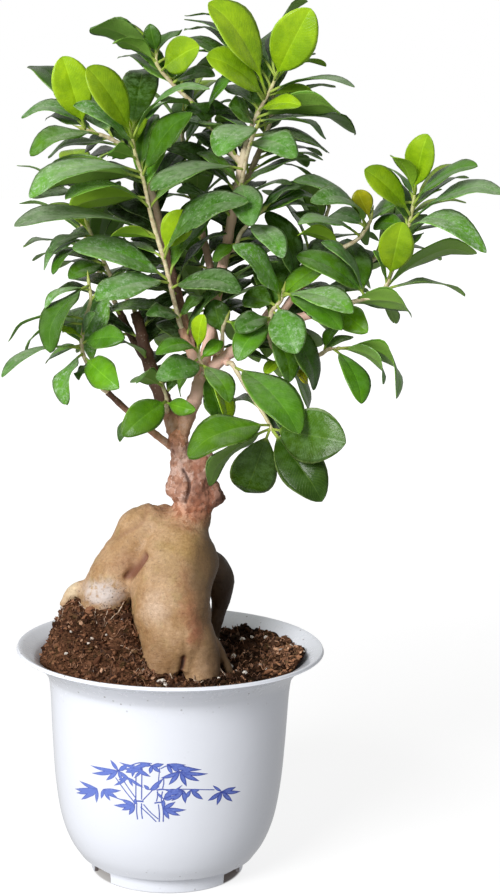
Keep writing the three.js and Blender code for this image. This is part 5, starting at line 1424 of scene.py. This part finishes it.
      [0.82, 95, -25, 255, 17, 0.7, 0.12, FRESH],
      [0.47, 83, 16, 290, 9, 0.7, 0.08, FRESH],
      [0.41, 91, 14, 284, 9, 0.5, 0.08, OLD],
    ],
  },
  "right_up": {
    "stem": [[83, 2, 329], [92, 0, 335], [97, -1, 343], [98, -1, 348]],
    "grown": 5,
    "set": [
      [0.82, 59, -16, 365, 21, 0.4, 0.12, DUSTY],
      [0.77, 69, -26, 357, 18, 0.3, 0.16, DUSTY],
      [0.92, 90, -6, 359, 11, 1, 0.05, BUD],
      [0.67, 61, -20, 343, 18, 0.4, 0.12, DUSTY],
      [0.43, 61, -14, 338, 14, -0.4, 0.1, YOUNG],
      [0.34, 59, 24, 349, 17, 0.7, 0.08, OLD],
      [0.5, 112, 16, 351, 16, 0.6, 0.08, OLD],
      [0.19, 92, 23, 308, 14, 0.8, 0.08, OLD],
    ],
  },
  "mid_up": {
    "stem": [[32, 1, 336], [37, -2, 342], [43, -4, 348]],
    "grown": 4,
    "set": [
      [0.87, 71, 22, 350, 18, 0.4, 0.1, OLD],
      [0.63, 53, -26, 329, 15, 0.8, 0.1, DUSTY],
      [0.23, 18, 14, 322, 10, 0.8, 0.08, OLD],
      [0.98, 61, -26, 361, 15, 0.4, 0.1, DUSTY],
      [0.28, 63, 19, 332, 17, 0.6, 0.08, OLD],
    ],
  },
  "left_up": {
    "stem": [[-35, 5, 382], [-41, 4, 384], [-47, 3, 386]],
    "grown": 3,
    "set": [
      [1, -57, -14, 421, 20, 1, 0.08, YOUNG],
      [1, -76, 21, 420, 22, 0.6, 0.1, FRESH],
      [1, -78, -14, 394, 17, 0.5, 0.22, DUSTY],
      [0.77, -72, -20, 377, 17, 0.6, 0.1, OLD],
      [0.61, -49, 23, 376, 10, 0.8, 0.08, FRESH],
      [0.3, -42, 21, 392, 9, 0.8, 0.08, OLD],
    ],
  },
  "back_left": { "stem": [[-46, 50, 317], [-54, 56, 339], [-56, 58, 359]], "grown": 13, "set": [] },
  "back_mid": { "stem": [[4, 46, 357], [0, 52, 379], [0, 54, 399]], "grown": 13, "set": [] },
  "back_right": { "stem": [[70, 46, 325], [78, 52, 347], [80, 52, 367]], "grown": 13, "set": [] },
  "back_low": { "stem": [[14, 50, 294], [8, 62, 307], [4, 70, 321]], "grown": 10, "set": [] },
  "back_top": { "stem": [[46, 33, 393], [48, 36, 413]], "grown": 9, "set": [] },
  "back_end": { "stem": [[106, 30, 327], [116, 32, 345]], "grown": 8, "set": [] },
}

# Open air seen through and round the crown: x, y, z and radius
OPEN_AIR = [
  [90, 56, 376, 22],
  [71, 20, 372, 9],
  [-68, 70, 298, 18],
  [118, 8, 278, 19],
  [126, 36, 308, 20],
  [-26, 0, 266, 10],
  [31, 3, 250, 9],
  [134, 2, 352, 8],
]

# %% [markdown]
# ## Holding a leaf
# A leaf needs three directions: along it, out of its upper side, and across. With them, any place on it is
# given by a share of its length and one of its width, and the net of points is made much later.
# %% How a leaf is held
PETIOLE = 0.14  # share of the length that is stalk
FOLD = 0.12  # how much the blade rises from the midrib to the edge
FRONT = place(0, -math.cos(math.radians(9.5)), math.sin(math.radians(9.5)))


class Hold:
    """A leaf's root, its length and its three directions."""

    def __init__(self, base, tip, upper):
        self.base = base
        self.length = np.linalg.norm(tip - base)
        self.along = (tip - base) / self.length
        self.upper = unit(upper - self.along * np.dot(upper, self.along))
        self.side = np.cross(self.along, self.upper)

    def point(self, bow, s, u, half):
        """The place at a share s of the length and a share u of the half width."""
        rise = bow * self.length * 4 * s * (1 - s) + FOLD * abs(u) * half
        return self.base + self.along * self.length * s + self.upper * rise + self.side * u * half


def facing(base, tip, face):
    """Held so that the upper side turns this squarely to the viewer."""
    along = unit(tip - base)
    front = unit(FRONT - along * np.dot(FRONT, along))
    across = np.cross(along, front)
    if across[2] < 0:
        across = -across
    return Hold(base, tip, front * face + across * math.sqrt(1 - face * face))


def outline(s):
    """Half the leaf's width at a share of its length, 1 at the widest."""
    blade = (s - PETIOLE) / (1 - PETIOLE)
    if blade <= 0:
        return 0.08
    return 0.0 if blade >= 1 else max(0.08, math.sin(math.pi * blade**1.12) ** 0.72)


# %% [markdown]
# ## Keeping leaves clear
# Real leaves don't pass through each other. Each one that is set leaves a cloud of points behind, and a new
# one is only taken where its own cloud keeps a distance from all of them, and from the wood.
# %% The cloud of points of a leaf
STEM_BASE_RADIUS = 1.5
CLEAR_OF_OTHERS = 4
CLEAR_OF_OWN = 2.2
CLEAR_OF_WOOD = 2.6
SPACING = 3.5
ACROSS = 7
BASE_ZONE = 0.36
SHADE = "shade"
taken = []


def leaf_cloud(hold, bow, wide):
    """Points spread over a leaf, and how many of them lie near its stalk, where its own shoot may touch."""
    rows = math.ceil(hold.length * 0.84 / SPACING)
    points, free = [], 0
    for i in range(rows + 1):
        s = 0.16 + 0.84 * i / rows
        half = outline(s) * wide / 2
        points += [hold.point(bow, s, -1 + 2 * k / (ACROSS - 1), half) for k in range(ACROSS)]
        if s < BASE_ZONE:
            free = len(points)
    return np.array(points), free


# %% Testing for room
def is_clear(shoot, points, free):
    """Whether a cloud of points keeps its distance from everything set so far."""
    low, high = points.min(0), points.max(0)
    for whose, others, others_free, reach, others_low, others_high in taken:
        own = whose == shoot
        if own and reach > 0:
            continue
        apart = CLEAR_OF_OWN if own or shoot == SHADE else CLEAR_OF_OTHERS
        limit = CLEAR_OF_WOOD + reach if reach > 0 else apart
        if np.any(low - limit > others_high) or np.any(high + limit < others_low):
            continue
        mine, theirs = points[free if own else 0 :], others[others_free if own else 0 :]
        if len(mine) and len(theirs):
            gaps = mine[:, None] - theirs[None]
            if (gaps**2).sum(2).min() < limit * limit:
                return False
    return True


def take(shoot, points, free, reach):
    """Keeps a cloud of points for later leaves. Wood has a reach, its radius, and leaves have none."""
    points = np.array(points, float)
    taken.append((shoot, points, free, reach, points.min(0), points.max(0)))


def trail(points, step):
    """Points a step apart along a row of places."""
    found = []
    for a, b in zip(points, points[1:]):
        count = math.ceil(np.linalg.norm(b - a) / step)
        found += [a + (b - a) * k / count for k in range(count)]
    return found + [points[-1]]


# %% [markdown]
# ## Setting and growing
# A set leaf that has no room steps back or forward in depth, which hardly shows from the front. A grown
# leaf turns round its stem by the golden angle, and on by a part of a turn where it has no room.
# %% Draws and places along a stem
SEAT_GAP = 0.3
GOLDEN_ANGLE = 137.5
LOWEST_TIP, HIGHEST_TIP = 220, 441
SEED = 2417
TRIES = 16
DEPTH_STEP = 4
DEPTH_TRIES = 13
BEHIND = 0.15
DEPTHS = [DEPTH_STEP * math.ceil(k / 2) * (1 if k % 2 else -1) for k in range(DEPTH_TRIES)]
drawn = SEED


def draw():
    """Even draws from 0 to 1, the same ones every time."""
    global drawn
    drawn = (drawn * 1664525 + 1013904223) % 2**32
    return drawn / 2**32


def stem_points(name):
    """Places along a shoot's stem, which starts straight on from the end of its branch."""
    tail, end = (place(*row[:3]) for row in LIMBS[name][-2:])
    ahead = unit(end - tail)
    return [end + ahead * SEAT_GAP, end + ahead * 4, *(place(*p) for p in SHOOTS[name]["stem"])]


def partway(points, share):
    """The point and the direction at a share of the stem's length."""
    lengths = [np.linalg.norm(b - a) for a, b in zip(points, points[1:])]
    left, i = share * sum(lengths), 0
    while i < len(lengths) - 1 and left > lengths[i]:
        left -= lengths[i]
        i += 1
    step = points[i + 1] - points[i]
    return points[i] + step * min(1, left / lengths[i]), unit(step)


def in_open_air(points):
    """Whether points enter a ball that has to stay open for the view through the crown."""
    return any(np.linalg.norm(points - air[:3], axis=1).min() < air[3] for air in OPEN_AIR)


# %% Leaves set by hand and grown by the rule
def try_leaf(shoot, hold, wide, bow, age, grown=False):
    points, free = leaf_cloud(hold, bow, wide)
    if grown and in_open_air(points) or not is_clear(shoot, points, free):
        return None
    take(shoot, points, free, 0)
    return hold, wide, bow, age


def set_leaf(shoot, stem, row):
    """A listed leaf, moved in depth until it has room."""
    share, x, y, z, wide, face, bow, age = row
    base = partway(stem, share)[0]
    for shift in DEPTHS:
        leaf = try_leaf(shoot, facing(base, place(x, y + shift, z), face), wide, bow, age)
        if leaf:
            return leaf
    return None


def grown_leaf(shoot, stem, k, count, behind):
    """The k-th leaf of the rule: its draws come first, then turns until it has room."""
    share = 0.1 + 0.86 * (k + 0.5) / count
    point, ahead = partway(stem, share)
    first = unit(np.cross((0, 0, 1), ahead))
    second = np.cross(ahead, first)
    length = (37 + 13 * draw()) * (1 - 0.3 * share**2)
    wide = length * (0.43 + 0.07 * draw())
    start = GOLDEN_ANGLE * k + 30 * draw()
    rise = 12 + 30 * share + 16 * draw()
    old = OLD if draw() < 0.55 else DUSTY
    age = YOUNG if share > 0.86 else FRESH if share > 0.62 else old
    for t in range(TRIES):
        turn, lean = math.radians(start + 47 * t), math.radians(rise + 9 * (t % 3))
        round_stem = first * math.cos(turn) + second * math.sin(turn)
        aim = round_stem * math.cos(lean) + ahead * math.sin(lean)
        aim[2] -= 0.22 * (1 - share)
        aim = unit(aim)
        if behind and aim[1] < BEHIND:
            continue
        tip = point + aim * length
        if tip[2] < LOWEST_TIP or tip[2] > HIGHEST_TIP:
            continue
        hold = Hold(point, tip, place(0, 0, 0.8) + ahead * 0.5)
        leaf = try_leaf(shoot, hold, wide, 0.1, age, grown=True)
        if leaf:
            return leaf
    return None


# %% Set and grow all leaves
for rows in LIMBS.values():
    take("wood", trail([place(*row[:3]) for row in rows], 3), 0, rows[0][3])
for name in SHOOTS:
    take(name, trail(stem_points(name), 3), 0, STEM_BASE_RADIUS)
leaves = {}
for name, shoot in SHOOTS.items():
    leaves[name] = [set_leaf(name, stem_points(name), row) for row in shoot["set"]]
for name, shoot in SHOOTS.items():
    stem, count = stem_points(name), shoot["grown"]
    leaves[name] += [grown_leaf(name, stem, k, count, bool(shoot["set"])) for k in range(count)]
leaves = {name: [leaf for leaf in found if leaf] for name, found in leaves.items()}
print("leaves", sum(len(found) for found in leaves.values()))

# %% [markdown]
# ## Shade leaves
# Old leaves hang on inside the crown, on bare wood, where they are seen only as darkness between the
# others. They are drawn by the same rule along the branches, and only those that stay well inside the
# crown are kept, so the plant's outline is that of the solids. Before them, a few single leaves are set one
# by one behind the shoots, where light would otherwise fall through the crown.
# %% Single leaves behind the shoots
LOOSE = {
    # share along the stem, x, y, z of the tip, width, face, bow, age
    "top": [
        (0.7, 3, 8, 443, 11, 0.6, 0.1, DUSTY), (0.6, 0, 12, 436, 13, 0.6, 0.1, OLD),
        (0.15, 75, 10, 379, 16, 0.5, 0.1, OLD), (0.3, 26.5, -12, 400, 18, 0.5, 0.1, OLD),
        (0.2, 28, 14, 386, 20, 0.8, 0.1, OLD),
    ],
    "left_top": [(0.98, 12.4, -25, 410.7, 16, 0.25, 0.12, DUSTY)],
    "crown_left": [
        (0.3, 24.3, -12, 411.7, 16, 0.35, 0.1, FRESH), (0.6, 11, 20, 416.2, 18, 0.5, 0.1, OLD),
        (0.5, 14, 6, 392, 18, 0.8, 0.1, OLD), (0.7, 17, 12, 415, 14, 0.7, 0.1, OLD),
        (0.35, 26, -4, 398, 15, 0.7, 0.1, FRESH), (0.9, 20, 8, 425, 15, 0.3, 0.1, DUSTY),
    ],
    "left_up": [(0.3, -66, -6, 375, 15, 0.3, 0.1, OLD)],
    "back_left": [(0.9, -76, 42, 351, 16, 0.5, 0.1, OLD)],
    "right_up": [(0.8, 77, -4, 347, 16, 0.7, 0.1, DUSTY)],
    "low_mid": [(0, 24, -12, 242, 15, 0.9, 0.1, FRESH)],
    "right_end": [(0.35, 74, -12, 309, 14, 0.5, 0.1, OLD)],
    "right_front": [(0.6, 34, 14, 305, 17, 0.8, 0.1, OLD)],
}


def loose_leaf(stem, share, x, y, z, wide, face, bow, age):
    """A listed leaf that no solid stands for, moved in depth until it has room."""
    base = partway(stem, share)[0]
    for shift in DEPTHS:
        hold = facing(base, place(x, y + shift, z), face)
        points, free = leaf_cloud(hold, bow, wide)
        if is_clear(SHADE, points[free:], 0):
            take(SHADE, points[free:], 0, 0)
            return hold, wide, bow, age
    return None


shade = [loose_leaf(stem_points(name), *row) for name, rows in LOOSE.items() for row in rows]
shade = [leaf for leaf in shade if leaf]
print("single leaves", len(shade))

# %% Leaves inside the crown
SHADE_LOW, SHADE_HIGH = place(-62, -16, 262), place(98, 56, 402)
# How many are tried along each branch
SHADE_LIMBS = {
    "top": 20, "left_up": 16, "left_top": 6, "right_end": 16, "left_side": 9, "back_mid": 12,
    "back_left": 7, "back_right": 12, "back_top": 9, "back_low": 5, "right_up": 8, "mid_up": 4,
    "crown_left": 4, "back_end": 8,
}


def shade_leaf(stem, share):
    """A leaf on bare wood inside the crown, turned until it has room."""
    point, ahead = partway(stem, share)
    first = unit(np.cross((0, 0.2, 1), ahead))
    second = np.cross(ahead, first)
    length = 32 + 12 * draw()
    start, lean = 360 * draw(), math.radians(15 + 25 * draw())
    for t in range(TRIES):
        turn = math.radians(start + 67 * t)
        aim = (first * math.cos(turn) + second * math.sin(turn)) * math.cos(lean) + ahead * math.sin(lean)
        tip = point + aim * length
        hold = Hold(point, tip, place(0, -0.35, 0.8) + ahead * 0.3)
        points, free = leaf_cloud(hold, 0.1, length * 0.46)
        points = points[free:]
        inside = (points > SHADE_LOW).all() and (points < SHADE_HIGH).all()
        if inside and not in_open_air(points) and is_clear(SHADE, points, 0):
            take(SHADE, points, 0, 0)
            return hold, length * 0.46, 0.1, OLD
    return None


for name, count in SHADE_LIMBS.items():
    limb = [place(*row[:3]) for row in LIMBS[name]]
    shade += [shade_leaf(limb, 0.25 + 0.72 * (k + 0.5) / count) for k in range(count)]
shade = [leaf for leaf in shade if leaf]
print("shade leaves", len(shade))

# %% [markdown]
# ## One leaf
# A ficus leaf is a stiff, waxy oval with a short drawn-out tip. It is folded a little along its midrib,
# which shows as a groove above and a ridge below, and its edge waves. Thickness matters at the edge, where
# light catches it, so each leaf is a closed skin with an upper and a lower net that share their rim.
# %% Net of a leaf
BLADE_ROWS = (0, 0.035, 0.09, 0.17, 0.26, 0.36, 0.46, 0.56, 0.66, 0.75, 0.83, 0.89, 0.94, 0.975, 0.993, 1)
LEAF_ROWS = [0, 0.05, 0.1] + [PETIOLE + (1 - PETIOLE) * t for t in BLADE_ROWS]
LEAF_SIDES = (-1, -0.8, -0.52, -0.24, -0.08, 0, 0.08, 0.24, 0.52, 0.8, 1)
PETIOLE_RADIUS = 0.72
LEAF_HALF = 0.2


def leaf_net(skin, hold, wide, bow, age, luck):
    """Adds one leaf. luck is a row of numbers from 0 to 1 that make it unlike the next."""
    young = age in (BUD, YOUNG)
    twist = math.radians(22) * (luck[0] - 0.5)
    wave = (0.5 if young else 1.3) * luck[1]
    curl = hold.length * (0.02 + 0.09 * luck[2] * (0.3 if young else 1))
    bare = 0.05 + 0.3 * ramp(hold.length, 48, 70) if young else 0.0
    fullness, plumpness, fold = (1.3, 0.5, 0.2) if young else (1.22, 0.58, FOLD)
    points, keep = [], {"along": [], "across": [], "under": []}
    for s in LEAF_ROWS:
        t = max(0, (s - PETIOLE) / (1 - PETIOLE))
        blade = max(0, (t - bare) / (1 - bare))
        half = wide / 2 * math.sin(math.pi * blade**fullness) ** plumpness if 0 < blade < 1 else 0
        stalk = PETIOLE_RADIUS * (1 - ramp(t, bare, bare + 0.12))
        half = max(half, stalk, 0.12)
        arch = bow * hold.length * 4 * s * (1 - s)
        droop = curl * ramp(t, 0.72, 1.0) ** 1.5
        c, d = math.cos(twist * t), math.sin(twist * t)
        side, upper = hold.side * c + hold.upper * d, hold.upper * c - hold.side * d
        for under in (0, 1):
            for u in LEAF_SIDES[:: -1 if under else 1][slice(1, -1) if under else slice(None)]:
                mm = abs(u) * half
                lift = arch - droop
                lift += fold * mm - 0.02 * mm * mm / max(half, 1) * 2
                phase = 9.5 * t + 6 * luck[3] + (1.3 if u > 0 else 0)
                lift += wave * abs(u) ** 3 * math.sin(phase) * ramp(t, 0, 0.2)
                rib = math.exp(-((mm / 0.75) ** 2)) * ramp(t, 0, 0.05)
                if under:
                    lift -= LEAF_HALF + 0.6 * rib * (1 - t) ** 0.8
                else:
                    lift += LEAF_HALF * (abs(u) < 1) - 0.28 * rib * (1 - t) ** 0.5
                    lift -= LEAF_HALF * 0.5 * (abs(u) < 1) * ramp(abs(u), 0.7, 1)
                if stalk > 0.02:
                    round_lift = math.sqrt(max(0, 1 - u * u)) * PETIOLE_RADIUS * (-1 if under else 1)
                    lift += (round_lift - (lift - arch)) * (1 - ramp(t, bare, bare + 0.08))
                points.append(hold.base + hold.along * hold.length * s + upper * lift + side * u * half)
                keep["along"].append(s)
                keep["across"].append(u)
                keep["under"].append(under)
    ring = 2 * len(LEAF_SIDES) - 2
    faces = []
    for r in range(len(LEAF_ROWS) - 1):
        for k in range(ring):
            a, b = r * ring + k, r * ring + (k + 1) % ring
            faces.append((a, a + ring, b + ring, b))
    last = (len(LEAF_ROWS) - 1) * ring
    faces += [tuple(range(ring)), tuple(last + k for k in range(ring))[::-1]]
    skin.add(points, faces, half=[wide / 2] * len(points), age=age, luck=luck[0], **keep)


# %% [markdown]
# ## Green stems
# A shoot's stem is green and faintly jointed, and ends in a pointed sheath that wraps the next leaf. It is
# cut off at the last leaf that found room, so no bare end stands out.
# %% Stems and sheaths
def stem_net(skin, name, found):
    """Adds a shoot's stem, up to the last leaf found, and its sheath."""
    whole = stem_points(name)
    shares = np.linspace(0, 1, 41)
    along_stem = np.array([partway(whole, share)[0] for share in shares])
    last = max(np.linalg.norm(along_stem - hold.base, axis=1).argmin() for hold, *_ in found)
    points = [p for p in whole if np.linalg.norm(along_stem - p, axis=1).argmin() < last] + [along_stem[last]]
    back = unit(points[1] - points[0])
    radii = 1.3 - 0.5 * np.arange(len(points)) / (len(points) - 1)
    rows = [(*(points[0] - back * 2.2), 1.25)] + [(*p, r) for p, r in zip(points, radii)]
    ahead = unit(points[-1] - points[-2])
    rows += [(*(points[-1] + ahead * step), radius) for step, radius in ((1.6, 0.95), (4, 0.6), (7, 0.12))]
    curve = bumpy(through(rows, 5), 5.2, 0.2, len(name))
    net, faces = tube(curve, 10, (0.3, 1, 0.2))
    shares = np.minimum(np.arange(len(net)) // 10 / len(curve), 1)
    skin.add(net, faces, along=shares, across=0.0, under=0.0, half=1.0, age=5.0, luck=0.5)


# %% [markdown]
# ## Leaf colour
# Age sets the colour: lime green when new, grass green when grown, then deep green. A number drawn for each
# leaf makes it lighter or darker. Leaves at the front get painted light, leaves deep inside the crown and
# low down get painted shade, and grown leaves a painted sheen in the middle.
# %% Age and place
green = Finish("ficus_leaf", Specular_IOR_Level=0.24)
at = green.place()
age, along, across = green.stored("age"), green.stored("along"), green.stored("across")
luck, half = green.stored("luck"), green.stored("half")
side = across.size()
under = green.stored("under").over(0.55, 0.8)
AGE_COLOURS = [
    (0.36, 0.38, 0.008),  # bud
    (0.225, 0.395, 0.009),  # young
    (0.06, 0.19, 0.009),  # fresh
    (0.064, 0.185, 0.007),  # old
    (0.05, 0.17, 0.014),  # dusty
]
body = AGE_COLOURS[0]
for step, tint in enumerate(AGE_COLOURS[1:]):
    body = green.mix(age.over(step + 0.3, step + 0.7), body, tint)
cloud = green.noise(at, 9, 4, 0.6)
body = green.mix(cloud.over(0.35, 0.65) * 0.6, body, body * (1.7, 1.5, 1.3))
grown = 0.35 + age.over(1.2, 1.9) * 0.65
body = green.mix(luck.over(0.45, 1.0) * grown * 0.85, body, body * (0.42, 0.4, 0.36))
body = green.mix((1 - luck.over(0.0, 0.5)) * grown * 0.85, body, body * (1.7, 1.5, 1.0))
sprout = (1 - age.over(1.2, 1.9)) * age.over(0.3, 0.7)
# Painted shade of the fold: one half of a young leaf is darker
body = green.mix(sprout * across.over(-0.15, 0.15) * 0.3, body, body * (0.62, 0.74, 0.8))
depth = green.along(at, 1)
# Painted light: leaves at the front are made lighter
body = green.mix((1 - depth.over(-12, 8)) * grown * 0.6, body, body * (1.5, 1.5, 1.15))
# Painted shade: leaves deep inside the crown are darkened
deep = depth.over(2, 18) * (1 - depth.over(36, 52))
body = green.mix(deep * grown * 0.88, body, body * (0.28, 0.28, 0.16))
# Painted shade: low leaves are darkened; low down they also carry less dust
low = 1 - green.along(at, 2).over(232, 262)
body = green.mix(low * grown * 0.85, body, body * (0.45, 0.4, 0.5))
# Painted sheen: a grown leaf is lighter in the middle than at its margins
body = green.mix(side.over(0.3, 0.9) * grown * 0.5, body, body * (0.62, 0.56, 0.55))

# %% [markdown]
# ## Veins, dust and painted sheen
# The veins are worked out from the two numbers that each point keeps, how far along the leaf it is and how
# far across, so that they follow every bend. The oldest leaves are grey with dust and dried hard water.
# Fresh and old leaves get a painted sheen on top, and level leaves a paler one in patches.
# %% Veins
midrib = 1 - (side * half).over(0.1, 0.42)
slant = along * 30.0 - side * 5.5
veins = (slant * 6.2832).sine().over(0.55, 1.0) * side.over(0.06, 0.2) * (1 - side.over(0.8, 1.0))
body = green.mix(veins * 0.07, body, (0.3, 0.45, 0.06))
body = green.mix(midrib * 0.32, body, body * 1.5 + (0.1, 0.12, 0.03))

# %% Dust and painted sheen
dusty = age.over(3.4, 3.8) * (1 - age.over(4.3, 4.6)) * (1 - low * 0.5)
film = green.noise(at, 2.4, 6, 0.8).over(0.47, 0.61) * (0.35 + green.noise(at, 8, 2).over(0.4, 0.6) * 0.65)
# Painted sheen: a pale haze on the upper side of fresh and old leaves
sheen_haze = green.noise(at, 5, 5, 0.75).over(0.42, 0.62) * age.over(1.6, 2.6)
sheen_haze = sheen_haze * (1 - age.over(4.3, 4.6)) * (0.29 - low * 0.12)
spots = (1 - green.cells(at, 1.9).over(0.12, 0.34)) * green.noise(at, 7).over(0.4, 0.6)
limed = green.mix(luck.over(0.35, 0.65), (0.46, 0.62, 0.42), (0.34, 0.47, 0.27))
body = green.mix(sheen_haze, body, (0.26, 0.46, 0.18))
body = green.mix(dusty * film * (0.78 - luck.over(0.3, 0.7) * 0.38), body, limed)
body = green.mix(dusty * spots * 0.45, body, (0.46, 0.54, 0.4))
outward = green.node("ShaderNodeNewGeometry", output="Normal")
# Painted sheen: level leaves are made paler, in patches
level_sheen = green.along(outward, 2).over(0.72, 0.98) * age.over(1.6, 2.4) * (1 - deep * 0.8)
sheen_patches = green.noise(at, 6, 4, 0.7).over(0.35, 0.65)
body = green.mix(level_sheen * (0.15 + sheen_patches * 0.27), body, (0.55, 0.62, 0.45))

# %% Edge, underside and stalk
# Painted highlight along the edge of each leaf
edge = side.over(0.9, 0.98) * 0.7
body = green.mix(edge, body, body * 1.2 + (0.24, 0.32, 0.1))
# The underside is paler, and painted brighter and more vivid as if lit through
paler = green.mix(age.over(0.8, 2.4), (0.28, 0.5, 0.03), (0.22, 0.4, 0.07))
paler = green.mix(midrib * 0.6 + veins * 0.12, paler, (0.4, 0.5, 0.15))
body = green.mix(under * 0.85, body, paler)
woody = green.mix(green.noise(at, 2, 3).over(0.3, 0.7), (0.86, 0.76, 0.52), (0.58, 0.44, 0.27))
stalks = green.mix((along + green.noise(at, 6) * 0.4).over(0.55, 1.1), woody, (0.42, 0.48, 0.1))
body = green.mix(age.over(4.4, 4.7), body, stalks)
body = green.mix((1 - along.over(0.1, 0.2)) * (1 - age.over(4.4, 4.7)), body, (0.4, 0.52, 0.09))
leaf_finish = green.feed(
    Base_Color=body,
    Roughness=0.21 + dusty * (0.1 + film * 0.25) + under * 0.25 + green.noise(at, 3) * 0.12,
    Normal=green.bumps((0.03, 1 - veins), (0.12, green.noise(at, 1.3, 3)), (0.5, green.noise(at, 7, 2))),
)

# %% [markdown]
# ## Hang the leaves
# One piece for each shoot, as one solid stands for each. The leaves of a shoot draw their luck from a
# stream of their own, seeded by the shoot's name, so a change to one shoot leaves the others as they were.
# %% Hang the leaves
for name, found in leaves.items():
    luck_stream = np.random.default_rng(sum(map(ord, name)))
    foliage = Skin()
    stem_net(foliage, name, found)
    for hold, wide, bow, age_of_leaf in found:
        leaf_net(foliage, hold, wide, bow, age_of_leaf, luck_stream.uniform(size=5))
    foliage.piece("leaves_" + name, leaf_finish, "leaf", "shoot_" + name)
luck_stream = np.random.default_rng(7)
shade_foliage = Skin()
for hold, wide, bow, age_of_leaf in shade:
    luck_with_shade = luck_stream.uniform(size=5)
    # Painted shade: old leaves inside the crown get the darkest tone, and the others are kept from the
    # lightest
    luck_with_shade[0] = max(luck_with_shade[0], 1.0 if age_of_leaf == OLD else 0.45)
    leaf_net(shade_foliage, hold, wide, bow, age_of_leaf, luck_with_shade)
shade_foliage.piece("leaves_shade", leaf_finish, "leaf")

# %% [markdown]
# ## Floor and light
# A pale sweep and one big soft lamp high at the left, as in a small product studio. The room's own light
# is weaker on the right, which lets that side of the pot fall into grey. The floor glows by itself so that
# the shadow at the foot stays faint, and under the pot the glow gives way to a painted shadow.
# %% Floor
FLOOR_SIDE, FLOOR_FRONT, FLOOR_BACK = 3000, -3000, 9000
floor_net = [(x, FLOOR_FRONT, 0) for x in (-FLOOR_SIDE, FLOOR_SIDE)]
floor_net += [(x, FLOOR_BACK, 0) for x in (FLOOR_SIDE, -FLOOR_SIDE)]
floor = loose("floor", floor_net, [(0, 1, 2, 3)])
GREY = (0.3, 0.3, 0.3, 1)
pale = Finish("floor", Roughness=0.9, Base_Color=GREY, Specular_IOR_Level=0.0, Emission_Strength=0.78)
at = pale.place()
reach = at.length()
# Painted shadow under the pot, darker towards the right; beyond the foot the floor glows, brighter far off
shadow_under_pot = pale.mix(pale.along(at, 0).over(-34, 6), (0.36, 0.34, 0.32), (0.03, 0.022, 0.018))
lit = pale.mix(reach.over(38.8, 40.6), shadow_under_pot, (1, 1, 1))
floor_finish = pale.feed(Emission_Color=pale.mix(reach.over(250, 1500), lit, (1.3, 1.3, 1.3)))
floor.data.materials.append(floor_finish)
floor.visible_diffuse = False
floor.visible_glossy = False

# %% [markdown]
# ## The room
# Light comes from all round, a little more of it from the left. What the camera sees behind the plant is
# plain white, so the two are kept apart by asking whether a ray comes from the camera.
# %% Room light
WHITE = (1, 1, 1, 1)
room = Room("room")
sideways = room.along(room.node("ShaderNodeTexCoord", output="Generated"), 0)
fall_off = {"Value": sideways, "From Min": -0.9, "From Max": 0.9, "To Min": 0.62, "To Max": 0.37}
strength = room.node("ShaderNodeMapRange", {"interpolation_type": "SMOOTHSTEP"}, fall_off)
soft = room.node("ShaderNodeBackground", None, {"Color": WHITE, "Strength": strength})
plain = room.node("ShaderNodeBackground", None, {"Color": WHITE})
seen = room.node("ShaderNodeLightPath", output="Is Camera Ray")
shown = room.node("ShaderNodeMixShader", None, {0: seen, 1: soft, 2: plain})
bpy.context.scene.world = room.feed(Surface=shown)
print("nodes of the room:", len(room.tree.nodes))

# %% [markdown]
# ## The lamp
# One square soft box, high at the left and well in front, gives the pot its bright left side and the leaves
# their glints. Its back is turned along the line from the plant to the lamp.
# %% Lamp
LAMP_PLACE = (-760, -1350, 950)
LAMP_TARGET = (0, 0, 200)
softbox = bpy.data.lights.new("softbox", "AREA")
softbox.shape = "SQUARE"
softbox.size = 0.7
softbox.energy = 27
lamp = bpy.data.objects.new("softbox", softbox)
bpy.context.collection.objects.link(lamp)
back = unit(np.subtract(LAMP_PLACE, LAMP_TARGET))
aside = unit(np.cross((0, 0, 1), back))
axes = Matrix([aside, np.cross(back, aside), back]).transposed().to_4x4()
lamp.matrix_world = Matrix.Translation([c * MM for c in LAMP_PLACE]) @ axes
bpy.context.scene.view_settings.view_transform = "Standard"
print("lamp of", softbox.energy, "W at", LAMP_PLACE)
